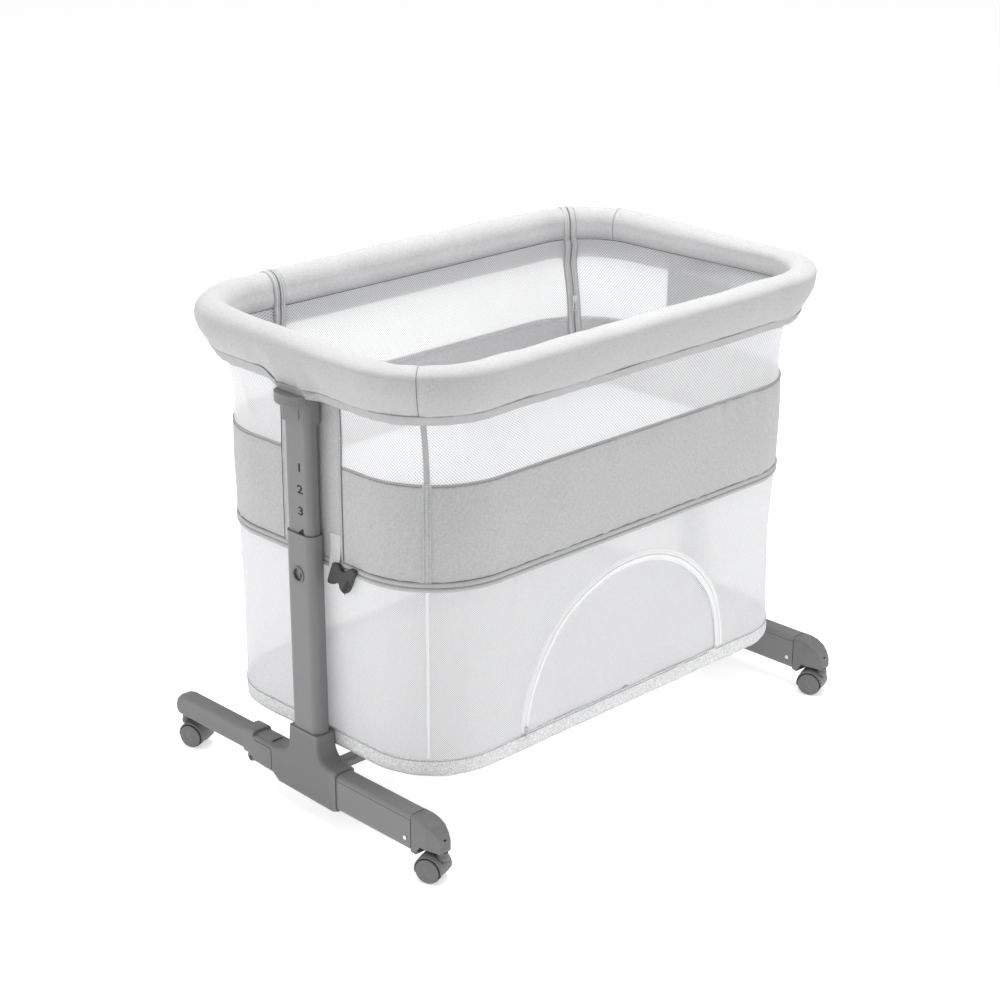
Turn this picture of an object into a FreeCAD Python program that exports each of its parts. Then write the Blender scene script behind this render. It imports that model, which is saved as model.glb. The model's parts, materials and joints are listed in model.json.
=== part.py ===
import FreeCAD, Part
import os, math
import Sketcher
from FreeCAD import Vector, Rotation

# Bedside sleeper crib, millimetres.  +Z up, floor at z = 0, origin under the
# middle of the crib.  X runs along the crib, the storage door is on -Y and the
# drop side (the side that stands against the bed) is on +Y.

doc = FreeCAD.newDocument("bedside_crib")
SHEET = doc.addObject("Spreadsheet::Sheet", "Dims")

TABLE = [
    # upper basket
    ("rail_hx", 441.0, "top rail centreline, half length"),
    ("rail_hy", 271.5, "top rail centreline, half width"),
    ("rail_cr", 120.0, "top rail centreline, corner radius"),
    ("rail_cz", 740.0, "top rail centreline height"),
    ("rail_tube_r", 11.0, "top rail steel tube, outer radius"),
    ("rail_tube_wall", 1.2, "top rail steel tube, wall"),
    ("pad_r", 24.0, "top rail padding, radius over the tube"),
    ("pad_seam_dx", 5.0, "lower seam of the padding, outward of the centreline"),
    ("pad_seam_z", 683.5, "lower seam of the padding, height"),
    ("trim_dx", 15.0, "trim band edge, inward of the centreline"),
    ("trim_z", 668.0, "trim band lower edge"),
    ("inner_seam_z", 702.0, "inner seam of the padding"),
    ("mesh_top_hx", 423.5, "mesh wall at the trim, half length"),
    ("mesh_top_hy", 254.0, "mesh wall at the trim, half width"),
    ("mesh_top_r", 110.0, "mesh wall at the trim, corner radius"),
    ("mesh_wall_t", 2.0, "mesh wall thickness"),
    ("band_top_z", 572.0, "fabric band, top"),
    ("band_bot_z", 412.0, "fabric band, bottom"),
    ("band_top_hx", 424.8, "fabric band top, half length"),
    ("band_top_hy", 263.4, "fabric band top, half width"),
    ("band_bot_hx", 424.8, "fabric band bottom, half length"),
    ("band_bot_hy", 261.4, "fabric band bottom, half width"),
    ("band_top_r", 133.7, "fabric band top, corner radius"),
    ("band_bot_r", 137.0, "fabric band bottom, corner radius"),
    ("band_t", 3.0, "fabric band thickness"),
    ("hem_top_z", 142.0, "storage hem, top"),
    ("hem_bot_z", 116.0, "storage hem, bottom"),
    ("hem_hx", 419.0, "storage hem, half length"),
    ("hem_hy", 252.0, "storage hem, half width"),
    ("hem_cr", 118.4, "storage hem, corner radius"),
    ("hem_thick", 3.0, "storage hem thickness"),
    ("floor_thick", 5.0, "storage floor thickness"),
    ("mattress_hx", 417.0, "mattress, half length"),
    ("mattress_hy", 252.0, "mattress, half width"),
    ("mattress_cr", 134.0, "mattress, corner radius"),
    ("mattress_thick", 29.0, "mattress thickness"),
    ("board_thick", 8.0, "mattress board thickness"),
    ("ring_r", 6.0, "mattress frame tube radius"),
    # drop side
    ("gate_x0", -268.0, "drop side, left zip line"),
    ("gate_x1", 378.0, "drop side, right zip line"),
    ("gate_z", 524.0, "drop side, fold line"),
    ("gate_gap", 1.0, "gap along the zip lines"),
    # storage door
    ("door_cx", -7.0, "storage door arch, centre"),
    ("door_cz", 139.0, "storage door arch, centre height"),
    ("door_radius", 216.0, "storage door arch, radius at the zip"),
    # posts
    ("post_x", 441.0, "post centre, distance from the middle"),
    ("post_y", -10.0, "post centre"),
    ("outer_w", 60.0, "outer post tube, width along Y"),
    ("outer_d", 30.0, "outer post tube, depth along X"),
    ("outer_cr", 12.0, "outer post tube, corner radius"),
    ("outer_wall", 1.6, "outer post tube, wall"),
    ("outer_z0", 112.0, "outer post tube, foot"),
    ("outer_z1", 460.0, "outer post tube, top"),
    ("inner_w", 54.0, "inner post tube, width along Y"),
    ("inner_d", 24.0, "inner post tube, depth along X"),
    ("inner_cr", 9.0, "inner post tube, corner radius"),
    ("inner_wall", 1.5, "inner post tube, wall"),
    ("inner_z0", 372.0, "inner post tube, foot"),
    ("inner_z1", 668.0, "inner post tube, top"),
    ("step_pitch", 33.5, "height step"),
    ("step_count", 6.0, "height steps"),
    ("pin_z", 392.0, "height lock pin"),
    ("pin_rad", 4.0, "height lock pin radius"),
    ("window_z", 396.0, "level window"),
    ("window_rad", 10.0, "level window radius"),
    ("cap_w", 62.0, "post head, width along Y"),
    ("cap_d", 31.0, "post head, depth along X"),
    ("cap_z0", 630.0, "post head, lower edge"),
    ("cap_z1", 682.0, "post head, upper edge"),
    ("lever_reach", 20.0, "release lever, reach beyond the post head"),
    ("lever_half", 32.0, "release lever, half width"),
    ("lever_z0", 659.0, "release lever, lower face"),
    ("lever_thick", 18.0, "release lever, thickness"),
    # base
    ("t_d", 38.4, "foot joint, depth along X"),
    ("foot_w", 34.0, "front foot tube, width"),
    ("foot_z0", 33.0, "front foot tube, underside"),
    ("foot_z1", 93.0, "front foot tube, top"),
    ("foot_y0", -64.0, "front foot tube, inner end"),
    ("foot_y1", -250.0, "front foot tube, outer end"),
    ("arm_w", 28.0, "rear arm, width"),
    ("arm_z0", 51.0, "rear arm, underside"),
    ("arm_z1", 90.0, "rear arm, top"),
    ("arm_y1", 325.0, "rear arm, tip"),
    ("bar_w", 22.0, "crossbar, width along Y"),
    ("bar_t", 15.0, "crossbar, height"),
    ("bar_z", 53.5, "crossbar, centre height"),
    ("stem_front_y", -300.0, "front caster stem"),
    ("stem_rear_y", 311.0, "rear caster stem"),
    ("trail", 16.0, "caster trail"),
    ("wheel_rad", 20.0, "caster wheel radius"),
    ("wheel_w", 14.0, "caster wheel width"),
    ("twin_half", 20.5, "half width over the twin wheels"),
    ("axle_rad", 2.5, "caster axle radius"),
    ("stem_rad", 5.5, "caster stem radius"),
]


class Q:
    """A length with its number and its text in terms of the sheet."""
    def __init__(self, v, e):
        self.v, self.e = float(v), e

    @staticmethod
    def of(o):
        return o if isinstance(o, Q) else Q(o, repr(float(o)))

    def __add__(self, o):
        o = Q.of(o); return Q(self.v + o.v, "(%s + %s)" % (self.e, o.e))

    def __radd__(self, o):
        return Q.of(o) + self

    def __sub__(self, o):
        o = Q.of(o); return Q(self.v - o.v, "(%s - %s)" % (self.e, o.e))

    def __rsub__(self, o):
        return Q.of(o) - self

    def __mul__(self, o):
        o = Q.of(o); return Q(self.v * o.v, "(%s * %s)" % (self.e, o.e))

    __rmul__ = __mul__

    def __truediv__(self, o):
        o = Q.of(o); return Q(self.v / o.v, "(%s / %s)" % (self.e, o.e))

    def __neg__(self):
        return Q(-self.v, "(-1 * %s)" % self.e)


class Dims:
    pass


d = Dims()
for i, (alias, value, note) in enumerate(TABLE, 1):
    SHEET.set("A%d" % i, alias)
    SHEET.set("B%d" % i, repr(value))
    SHEET.setAlias("B%d" % i, alias)
    SHEET.set("C%d" % i, note)
    setattr(d, alias, Q(value, "Dims." + alias))
doc.recompute()

KEPT = []


def keep(obj, label):
    obj.Label = label
    KEPT.append(obj)
    return obj


def bind(obj, path, q):
    q = Q.of(q)
    if "Dims." in q.e:
        obj.setExpression(path, q.e)
    elif "." not in path:
        setattr(obj, path, q.v)
    else:
        obj.setExpression(path, repr(q.v))


def put(obj, x, y, z):
    obj.Placement = FreeCAD.Placement(Vector(Q.of(x).v, Q.of(y).v, Q.of(z).v), Rotation())
    for k, q in (("x", x), ("y", y), ("z", z)):
        q = Q.of(q)
        if "Dims." in q.e:
            obj.setExpression("Placement.Base." + k, q.e)


def box(name, x0, x1, y0, y1, z0, z1):
    b = doc.addObject("Part::Box", name)
    bind(b, "Length", Q.of(x1) - x0)
    bind(b, "Width", Q.of(y1) - y0)
    bind(b, "Height", Q.of(z1) - z0)
    put(b, x0, y0, z0)
    return b


AXROT = {"x": Rotation(Vector(0, 1, 0), 90), "y": Rotation(Vector(1, 0, 0), -90), "z": Rotation()}


def rod(name, axis, x, y, z, r, length):
    c = doc.addObject("Part::Cylinder", name)
    bind(c, "Radius", r)
    bind(c, "Height", length)
    put(c, x, y, z)
    p = c.Placement
    p.Rotation = AXROT[axis]
    c.Placement = p
    return c


def cut(name, base, *tools):
    for k, t in enumerate(tools):
        o = doc.addObject("Part::Cut", name if k == len(tools) - 1 else name + "_step")
        o.Base, o.Tool = base, t
        base = o
    return base


def fuse(name, *shapes):
    o = doc.addObject("Part::MultiFuse", name)
    o.Shapes = list(shapes)
    return o


def common(name, a, b):
    o = doc.addObject("Part::Common", name)
    o.Base, o.Tool = a, b
    return o


def mirror_x(name, src):
    m = doc.addObject("Part::Mirroring", name)
    m.Source = src
    m.Base = Vector(0, 0, 0)
    m.Normal = Vector(1, 0, 0)
    return m


def pair(name, left):
    """Keep a left-hand piece and its mirror image."""
    keep(left, name + "_left")
    keep(mirror_x(name + "_r", left), name + "_right")


def plane_of(body, role):
    for f in body.Origin.OriginFeatures:
        if f.Role == role:
            return f


def attach(sk, body, plane, cx, cy, off):
    sk.AttachmentSupport = [(plane_of(body, plane + "_Plane"), "")]
    sk.MapMode = "FlatFace"
    sk.AttachmentOffset = FreeCAD.Placement(Vector(Q.of(cx).v, Q.of(cy).v, Q.of(off).v), Rotation())
    for k, q in (("x", cx), ("y", cy), ("z", off)):
        q = Q.of(q)
        if "Dims." in q.e:
            sk.setExpression("AttachmentOffset.Base." + k, q.e)


def drive(sk, kind, args, q):
    """A constraint whose value follows the sheet."""
    q = Q.of(q)
    i = sk.addConstraint(Sketcher.Constraint(kind, *args, q.v))
    if "Dims." in q.e:
        sk.setExpression("Constraints[%d]" % i, q.e)


def rrect(body, name, plane, cx, cy, off, hx, hy, r, split=False):
    """Rounded rectangle centred on (cx, cy) of a plane."""
    hx, hy, r = Q.of(hx), Q.of(hy), Q.of(r)
    a, b, c = hx.v, hy.v, r.v
    sk = body.newObject("Sketcher::SketchObject", name)
    attach(sk, body, plane, cx, cy, off)
    V = lambda u, v: Vector(u, v, 0)
    arc = lambda u, v, s: Part.ArcOfCircle(Part.Circle(V(u, v), Vector(0, 0, 1), c),
                                           math.radians(s), math.radians(s + 90))
    sk.addGeometry([
        Part.LineSegment(V(-a + c, -b), V(a - c, -b)), arc(a - c, -b + c, -90),
        Part.LineSegment(V(a, -b + c), V(a, b - c)), arc(a - c, b - c, 0),
        Part.LineSegment(V(a - c, b), V(-a + c, b)), arc(-a + c, b - c, 90),
        Part.LineSegment(V(-a, b - c), V(-a, -b + c)), arc(-a + c, -b + c, 180)], False)
    C = Sketcher.Constraint
    sk.addConstraint([C("Tangent", i, 2, (i + 1) % 8, 1) for i in range(8)])
    sk.addConstraint([C("Horizontal", 0), C("Vertical", 2), C("Horizontal", 4), C("Vertical", 6),
                      C("Equal", 1, 3), C("Equal", 3, 5), C("Equal", 5, 7),
                      C("Symmetric", 0, 1, 4, 1, -1, 1)])
    drive(sk, "Radius", (1,), r)
    drive(sk, "DistanceX", (6, 1, 2, 1), hx * 2)
    drive(sk, "DistanceY", (0, 1, 4, 1), hy * 2)
    return sk


def circle(body, name, plane, cx, cy, off, r):
    sk = body.newObject("Sketcher::SketchObject", name)
    attach(sk, body, plane, cx, cy, off)
    sk.addGeometry(Part.Circle(Vector(0, 0, 0), Vector(0, 0, 1), Q.of(r).v), False)
    sk.addConstraint(Sketcher.Constraint("Coincident", 0, 3, -1, 1))
    drive(sk, "Radius", (0,), r)
    return sk


def outline(body, name, plane, cx, cy, off, pts):
    """Closed outline through corner points given as lengths of the sheet."""
    sk = body.newObject("Sketcher::SketchObject", name)
    attach(sk, body, plane, cx, cy, off)
    n = len(pts)
    P = [Vector(Q.of(u).v, Q.of(v).v, 0) for u, v in pts]
    sk.addGeometry([Part.LineSegment(P[i], P[(i + 1) % n]) for i in range(n)], False)
    sk.addConstraint([Sketcher.Constraint("Coincident", i, 2, (i + 1) % n, 1) for i in range(n)])
    for i, (u, v) in enumerate(pts):
        drive(sk, "DistanceX", (-1, 1, i, 1), u)
        drive(sk, "DistanceY", (-1, 1, i, 1), v)
    return sk


def body_of(name):
    return doc.addObject("PartDesign::Body", name)


def pad(body, name, sk, length, mid=False):
    f = body.newObject("PartDesign::Pad", name)
    f.Profile = sk
    bind(f, "Length", length)
    if mid:
        f.Midplane = True
    sk.Visibility = False
    body.Tip = f
    return f


def pocket(body, name, sk, length, mid=False, reverse=False):
    doc.recompute()
    before = body.Shape.Volume
    f = body.newObject("PartDesign::Pocket", name)
    f.Profile = sk
    bind(f, "Length", length)
    f.Midplane = mid
    f.Reversed = reverse
    body.Tip = f
    doc.recompute()
    if not body.Shape.Volume < before - 1.0:
        raise RuntimeError("pocket %s cuts nothing" % name)
    return f


def rounded(body, name, radius, pick):
    """Fillet the edges that pick(edge) accepts."""
    doc.recompute()
    names = ["Edge%d" % (i + 1) for i, e in enumerate(body.Tip.Shape.Edges) if pick(e)]
    if not names:
        raise RuntimeError("no edge for " + name)
    base = body.Tip
    f = body.newObject("PartDesign::Fillet", name)
    f.Base = (base, names)
    bind(f, "Radius", radius)
    body.Tip = f
    doc.recompute()
    if "Invalid" in f.State or f.Shape.isNull() or not f.Shape.isValid():
        raise RuntimeError("fillet %s failed" % name)
    return f


def prism(name, plane, cx, cy, off, hx, hy, r, length):
    b = body_of(name)
    pad(b, name + "_pad", rrect(b, name + "_sk", plane, cx, cy, off, hx, hy, r), length)
    return b


def tube(name, plane, cx, cy, off, hx, hy, r, wall, length):
    b = prism(name, plane, cx, cy, off, hx, hy, r, length)
    sk = rrect(b, name + "_bore", plane, cx, cy, off, Q.of(hx) - wall, Q.of(hy) - wall, Q.of(r) - wall)
    pocket(b, name + "_pocket", sk, length, reverse=True)
    return b


# ---------------------------------------------------------------- posts
PX = -d.post_x
PY = d.post_y
outer = tube("outer_post", "XY", PX, PY, d.outer_z0, d.outer_d / 2, d.outer_w / 2, d.outer_cr,
             d.outer_wall, d.outer_z1 - d.outer_z0)
# six lock holes down the inner face, one height step apart
sk = circle(outer, "lock_hole", "YZ", PY, d.pin_z, PX, d.pin_rad + 0.3)
hole = pocket(outer, "lock_holes", sk, 20, reverse=True)
pat = outer.newObject("PartDesign::LinearPattern", "lock_row")
pat.Originals = [hole]
pat.Direction = (sk, ["V_Axis"])
pat.Reversed = True
bind(pat, "Length", d.step_pitch * (d.step_count - 1))
pat.Occurrences = 6
outer.Tip = pat
# level window in the outer face
sk = circle(outer, "window", "YZ", PY, d.window_z, PX, d.window_rad)
pocket(outer, "window_hole", sk, 20, reverse=False)
pair("outer_post", outer)

inner = tube("inner_post", "XY", PX, PY, d.inner_z0, d.inner_d / 2, d.inner_w / 2, d.inner_cr,
             d.inner_wall, d.inner_z1 - d.inner_z0)
sk = circle(inner, "pin_hole", "YZ", PY, d.pin_z, PX, d.pin_rad + 0.06)
pocket(inner, "pin_hole_cut", sk, 20, reverse=True)
pair("inner_post", inner)

# guide bush between the two tubes, flush with the rim of the outer one
bush = prism("post_bush", "XY", PX, PY, d.outer_z1 - 20, d.outer_d / 2 - d.outer_wall - 0.02,
             d.outer_w / 2 - d.outer_wall - 0.02, d.outer_cr - d.outer_wall, 20.6)
sk = rrect(bush, "post_bush_bore", "XY", PX, PY, d.outer_z1 - 20, d.inner_d / 2 + 0.1,
           d.inner_w / 2 + 0.1, d.inner_cr + 0.1)
pocket(bush, "post_bush_pocket", sk, 20.6, reverse=True)
keep(fuse("post_bushes_f", bush, mirror_x("post_bush_r", bush)), "post_bushes")

# ring round the level window
bez = body_of("level_window")
pad(bez, "level_window_pad", circle(bez, "level_window_sk", "YZ", PY, d.window_z,
                                    PX - d.outer_d / 2 - 1.4, d.window_rad + 3), 1.4)
pocket(bez, "level_window_cut", circle(bez, "level_window_in", "YZ", PY, d.window_z,
                                       PX - d.outer_d / 2 - 1.4, d.window_rad - 0.4), 3, mid=True)
keep(fuse("level_windows_f", bez, mirror_x("level_window_r", bez)), "level_windows")

# spring-loaded lock pin, drawn outward by the release lever
pin = body_of("lock_pin")
pad(pin, "lock_pin_pad", circle(pin, "lock_pin_sk", "YZ", PY, d.pin_z, PX + 4.2, d.pin_rad), 9.0)
pad(pin, "lock_pin_head", circle(pin, "lock_pin_head_sk", "YZ", PY, d.pin_z, PX + 0.2, d.pin_rad + 2.5), 4)
pair("lock_pin", pin)

# post head: clamps the inner tube and carries the rail
head = prism("post_head", "XY", PX, PY, d.cap_z0, d.cap_d / 2, d.cap_w / 2, 10, d.cap_z1 - d.cap_z0)
pad(head, "post_head_saddle", rrect(head, "post_head_saddle_sk", "XY", PX, PY, d.cap_z1 - 1,
                                    9, 18, 4), d.rail_cz - d.rail_tube_r - d.cap_z1 + 5)
doc.recompute()
sk = rrect(head, "post_head_socket", "XY", PX, PY, d.cap_z0, d.inner_d / 2 + 0.05, d.inner_w / 2 + 0.05, d.inner_cr)
pocket(head, "post_head_socket_cut", sk, d.inner_z1 - d.cap_z0, reverse=True)
# slot for the tongue of the release lever, and the groove under the rail tube
slot = box("lever_slot", PX - d.cap_d / 2 - 1, PX - d.inner_d / 2 - 0.2, PY - 20.4, PY + 20.4,
           d.lever_z0 + 3.6, d.cap_z1 + 1)
groove = rod("saddle_groove", "y", PX, PY - 40, d.rail_cz, d.rail_tube_r + 0.02, 80)
pair("post_head", cut("post_head_done", head, slot, groove))

# half-moon release lever
lev = body_of("release_lever")
rx = d.lever_reach
pts = []
for k in range(0, 13):
    t = math.radians(15 * k)
    pts.append((-(rx * math.sin(t)) if 0 < k < 12 else Q.of(0.0), d.lever_half * (-math.cos(t))))
sk = outline(lev, "release_lever_sk", "XY", PX - d.cap_d / 2 - 0.3, PY, d.lever_z0,
             [(u, v) for u, v in pts])
pad(lev, "release_lever_pad", sk, d.lever_thick)
rounded(lev, "release_lever_round", 5, lambda e: abs(e.BoundBox.ZMax - d.lever_z0.v) < 1e-3 and
        e.BoundBox.XMax < -456.8 + 1e-6 and e.BoundBox.XMin < -456.9)
tongue = box("lever_tongue", PX - d.cap_d / 2 - 0.4, PX - d.inner_d / 2 - 0.6, PY - 19.8, PY + 19.8,
             d.lever_z0 + 4, d.lever_z0 + 10)
pair("release_lever", fuse("release_lever_done", lev, tongue))

# ---------------------------------------------------------------- base
TX = PX + 0.2           # the joint is clear of the cloth on its inner side
tj = body_of("foot_joint")
prof = [(-84, 31), (-84, 96), (-47, 101), (-43.4, 141), (23.4, 141), (26.5, 98.5), (50, 92), (66, 88.5),
        (114, 88.5), (114, 42), (68, 40), (54, 30), (-74, 27)]
pad(tj, "foot_joint_pad", outline(tj, "foot_joint_sk", "YZ", 0, 0, TX,
                                  [(Q.of(a), Q.of(b)) for a, b in prof]), d.t_d, mid=True)
rounded(tj, "foot_joint_front", 26, lambda e: abs(e.BoundBox.XLength - d.t_d.v) < 1e-3 and
        abs(e.CenterOfMass.y + 47) < 0.5)
rounded(tj, "foot_joint_back", 14, lambda e: abs(e.BoundBox.XLength - d.t_d.v) < 1e-3 and
        abs(e.CenterOfMass.y - 26.5) < 0.5)
rounded(tj, "foot_joint_round", 6.5, lambda e: e.BoundBox.XLength < 1e-3 and
        e.CenterOfMass.y > -83.9 and e.CenterOfMass.y < 113.9 and e.CenterOfMass.z < 140.9)
# the neck narrows towards the post tube on both faces
tap_o = body_of("neck_taper_out")
pad(tap_o, "neck_taper_out_pad", outline(tap_o, "neck_taper_out_sk", "XZ", 0, 0, -60, [
    (Q.of(-460.1), Q.of(101)), (Q.of(-458.2), Q.of(142)), (Q.of(-480), Q.of(142)), (Q.of(-480), Q.of(101))]), 120)
tap_i = body_of("neck_taper_in")
pad(tap_i, "neck_taper_in_pad", outline(tap_i, "neck_taper_in_sk", "XZ", 0, 0, -60, [
    (Q.of(-421.5), Q.of(101)), (Q.of(-400), Q.of(101)), (Q.of(-400), Q.of(142)), (Q.of(-423.6), Q.of(142))]), 120)
tjn = cut("foot_joint_body", tj, tap_o, tap_i)
post_socket = prism("post_socket", "XY", PX, PY, d.outer_z0 - 0.1, d.outer_d / 2 + 0.05,
                    d.outer_w / 2 + 0.05, d.outer_cr, 80)
foot_socket = prism("foot_socket", "XZ", PX, (d.foot_z0 + d.foot_z1) / 2, -d.foot_y0 - 0.2,
                    d.foot_w / 2 + 0.05, (d.foot_z1 - d.foot_z0) / 2 + 0.05, 8, 40)
arm_socket = prism("arm_socket", "XZ", PX, (d.arm_z0 + d.arm_z1) / 2, -120, d.arm_w / 2 + 0.05,
                   (d.arm_z1 - d.arm_z0) / 2 + 0.05, 7, 46)
pair("foot_joint", cut("foot_joint_done", tjn, post_socket, foot_socket, arm_socket))

# front foot: tube, end cap, screws
foot = tube("front_foot", "XZ", PX, (d.foot_z0 + d.foot_z1) / 2, -d.foot_y0, d.foot_w / 2,
            (d.foot_z1 - d.foot_z0) / 2, 8, 2.5, d.foot_y0 - d.foot_y1)
scr_hole = rod("foot_screw_hole", "x", PX - 30, -238, 52, 2.1, 60)
pair("front_foot_tube", cut("front_foot_done", foot, scr_hole))

capb = body_of("front_end_cap")
prof = [(-250.1, 33), (-250.1, 93), (-266, 93), (-279, 90.5), (-291, 84.5), (-300, 75.5), (-306, 65),
        (-309.5, 55), (-309, 50.5), (-305, 48), (-269, 48), (-264, 41), (-258, 33)]
pad(capb, "front_end_cap_pad", outline(capb, "front_end_cap_sk", "YZ", 0, 0, PX,
                                       [(Q.of(a), Q.of(b)) for a, b in prof]), d.foot_w, mid=True)
rounded(capb, "front_end_cap_round", 7, lambda e: e.BoundBox.XLength < 1e-3 and
        e.CenterOfMass.z > 56 and e.CenterOfMass.y < -251)
# the nose narrows to a small flat, with soft corners
nose = body_of("front_cap_nose")
hw = d.foot_w / 2
pad(nose, "front_cap_nose_pad", outline(nose, "front_cap_nose_sk", "XY", PX, 0, 20, [
    (-hw - 1, Q.of(-200)), (-hw - 1, Q.of(-276.5)), (Q.of(-9.5), Q.of(-309.4)), (Q.of(9.5), Q.of(-309.4)),
    (hw + 1, Q.of(-276.5)), (hw + 1, Q.of(-200))]), 90)
rounded(nose, "front_cap_nose_round", 7, lambda e: e.BoundBox.ZLength > 80 and e.CenterOfMass.y < -300)
capb = common("front_cap_shape", capb, nose)
spig = prism("cap_spigot", "XZ", PX, (d.foot_z0 + d.foot_z1) / 2, 228, d.foot_w / 2 - 2.6,
             (d.foot_z1 - d.foot_z0) / 2 - 2.6, 5.4, 24)
lug = cut("front_lug_trim", rod("front_lug", "x", PX - 15, -256, 39, 8, 30),
          box("front_lug_end", PX - 20, PX + 20, -250.05, -240, 20, 60))
capf = fuse("front_cap_fused", capb, spig, lug)
stem_hole = rod("front_stem_hole", "z", PX, d.stem_front_y, 40, d.stem_rad + 0.06, 28)
lug_hole = rod("front_lug_hole", "x", PX - 16, -256, 39, 4.2, 32)
pair("front_end_cap", cut("front_cap_done", capf, stem_hole, lug_hole, scr_hole))

# rear foot: collar and arm
col = prism("rear_collar", "XZ", PX, 72.5, -139, 18.5, 22.5, 8, 24.8)
rlug = rod("rear_lug", "x", PX - 13, 128, 45, 8, 26)
colf = fuse("rear_collar_fused", col, rlug)
arm_hole = prism("arm_hole", "XZ", PX, (d.arm_z0 + d.arm_z1) / 2, -145, d.arm_w / 2 + 0.05,
                 (d.arm_z1 - d.arm_z0) / 2 + 0.05, 7, 40)
rlug_hole = rod("rear_lug_hole", "x", PX - 16, 128, 42.5, 4.2, 32)
pair("rear_collar", cut("rear_collar_done", colf, arm_hole, rlug_hole))

arm = body_of("rear_arm")
prof = [(76, 51), (76, 90), (300, 90), (312, 87), (321, 79), (325, 68), (324, 58), (317, 51)]
pad(arm, "rear_arm_pad", outline(arm, "rear_arm_sk", "YZ", 0, 0, PX,
                                 [(Q.of(a), Q.of(b)) for a, b in prof]), d.arm_w, mid=True)
rounded(arm, "rear_arm_round", 7, lambda e: e.BoundBox.XLength < 1e-3 and e.CenterOfMass.y > 77)
rstem_hole = rod("rear_stem_hole", "z", PX, d.stem_rear_y, 40, d.stem_rad + 0.06, 30)
arm_void = prism("arm_void", "XZ", PX, (d.arm_z0 + d.arm_z1) / 2, -292, d.arm_w / 2 - 1.8,
                 (d.arm_z1 - d.arm_z0) / 2 - 1.8, 5.2, 220)
pair("rear_arm", cut("rear_arm_done", arm, rstem_hole, arm_void))

# screws: bright ones hold the end caps, dark ones close the lugs
parts_s, parts_l = [], []
for sx in (-1, 1):
    for side in (-1, 1):
        xc = d.post_x * sx
        head_x = xc + (d.foot_w / 2 if side > 0 else -(d.foot_w / 2) - 1.2)
        parts_s.append(rod("screw_head", "x", head_x, -238, 52, 3.4, 1.2))
    parts_s.append(rod("screw_shank", "x", xc - d.foot_w / 2, -238, 52, 2.0, d.foot_w))
    parts_l.append(rod("lug_screw_f", "x", xc - 14, -256, 39, 4.1, 28))
    parts_l.append(rod("lug_screw_r", "x", xc - 12, 128, 42.5, 4.1, 24))
keep(fuse("end_cap_screws_f", *parts_s), "end_cap_screws")
keep(fuse("lug_screws_f", *parts_l), "lug_screws")

# crossbar and its end brackets
bar = tube("crossbar", "YZ", 0, d.bar_z, -398, d.bar_w / 2, d.bar_t / 2, 4, 1.6, 796)
keep(bar, "crossbar")
brk = prism("crossbar_bracket", "YZ", -40.5, 51.5, TX + d.t_d / 2 + 0.05, 65.5, 12.5, 4, 25)
sleeve = prism("bracket_sleeve", "YZ", 0, d.bar_z, TX + d.t_d / 2 + 22, 13.5, 9.8, 4.5, 22)
bar_hole = prism("bracket_hole", "YZ", 0, d.bar_z, -399, d.bar_w / 2 + 0.05, d.bar_t / 2 + 0.05, 4, 60)
pair("crossbar_bracket", cut("crossbar_bracket_done", fuse("bracket_f", brk, sleeve), bar_hole))

# ---------------------------------------------------------------- casters
TURN = 20.0             # the casters stand turned a little, as shown


def turned(body, xc, sy):
    """Turn a body about its caster's stem."""
    body.Placement = FreeCAD.Placement(Vector(0, 0, 0), Rotation(Vector(0, 0, 1), TURN),
                                       Vector(Q.of(xc).v, Q.of(sy).v, 0))
    return body


def caster(tag, xc, sy, inward, seat):
    wy = sy + inward * d.trail
    f = body_of("caster_fork_" + tag)
    pad(f, f.Name + "_disc", circle(f, f.Name + "_sk1", "YZ", wy, d.wheel_rad, xc, 17.5), 11, mid=True)
    off = (Q.of(sy) + wy) / 2
    pad(f, f.Name + "_block", rrect(f, f.Name + "_sk2", "YZ", off, 32, xc, 15.5, 8, 5), 11, mid=True)
    pad(f, f.Name + "_neck", circle(f, f.Name + "_sk3", "XY", xc, sy, 38.8, 8.2), Q.of(seat) - 39.2)
    pad(f, f.Name + "_stem", circle(f, f.Name + "_sk4", "XY", xc, sy, 36, d.stem_rad), 30)
    pocket(f, f.Name + "_bore", circle(f, f.Name + "_sk5", "YZ", wy, d.wheel_rad, xc,
                                       d.axle_rad + 0.05), 30, mid=True)
    keep(turned(f, xc, sy), "caster_fork_" + tag)
    ws = []
    for k, s in enumerate((-1, 1)):
        w = body_of("caster_wheel_%s_%d" % (tag, k))
        x0 = xc + (d.twin_half - d.wheel_w / 2) * s
        pad(w, w.Name + "_disc", circle(w, w.Name + "_sk", "YZ", wy, d.wheel_rad, x0, d.wheel_rad),
            d.wheel_w, mid=True)
        rounded(w, w.Name + "_edge", 2.2, lambda e: True)
        pocket(w, w.Name + "_bore", circle(w, w.Name + "_sk2", "YZ", wy, d.wheel_rad,
                                           xc + (d.twin_half - d.wheel_w) * s, d.axle_rad),
               23.0, mid=True)
        ws.append(turned(w, xc, sy))
    keep(fuse("caster_wheels_f_" + tag, *ws), "caster_wheels_" + tag)
    a = body_of("caster_axle_" + tag)
    pad(a, a.Name + "_pad", circle(a, a.Name + "_sk", "YZ", wy, d.wheel_rad, xc - 18, d.axle_rad), 36)
    keep(turned(a, xc, sy), "caster_axle_" + tag)
    return ws, a


for tag, sx, front in (("front_left", -1, True), ("front_right", 1, True),
                       ("rear_left", -1, False), ("rear_right", 1, False)):
    caster(tag, d.post_x * sx, d.stem_front_y if front else d.stem_rear_y,
           1.0 if front else -1.0, 48 if front else 51)

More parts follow.
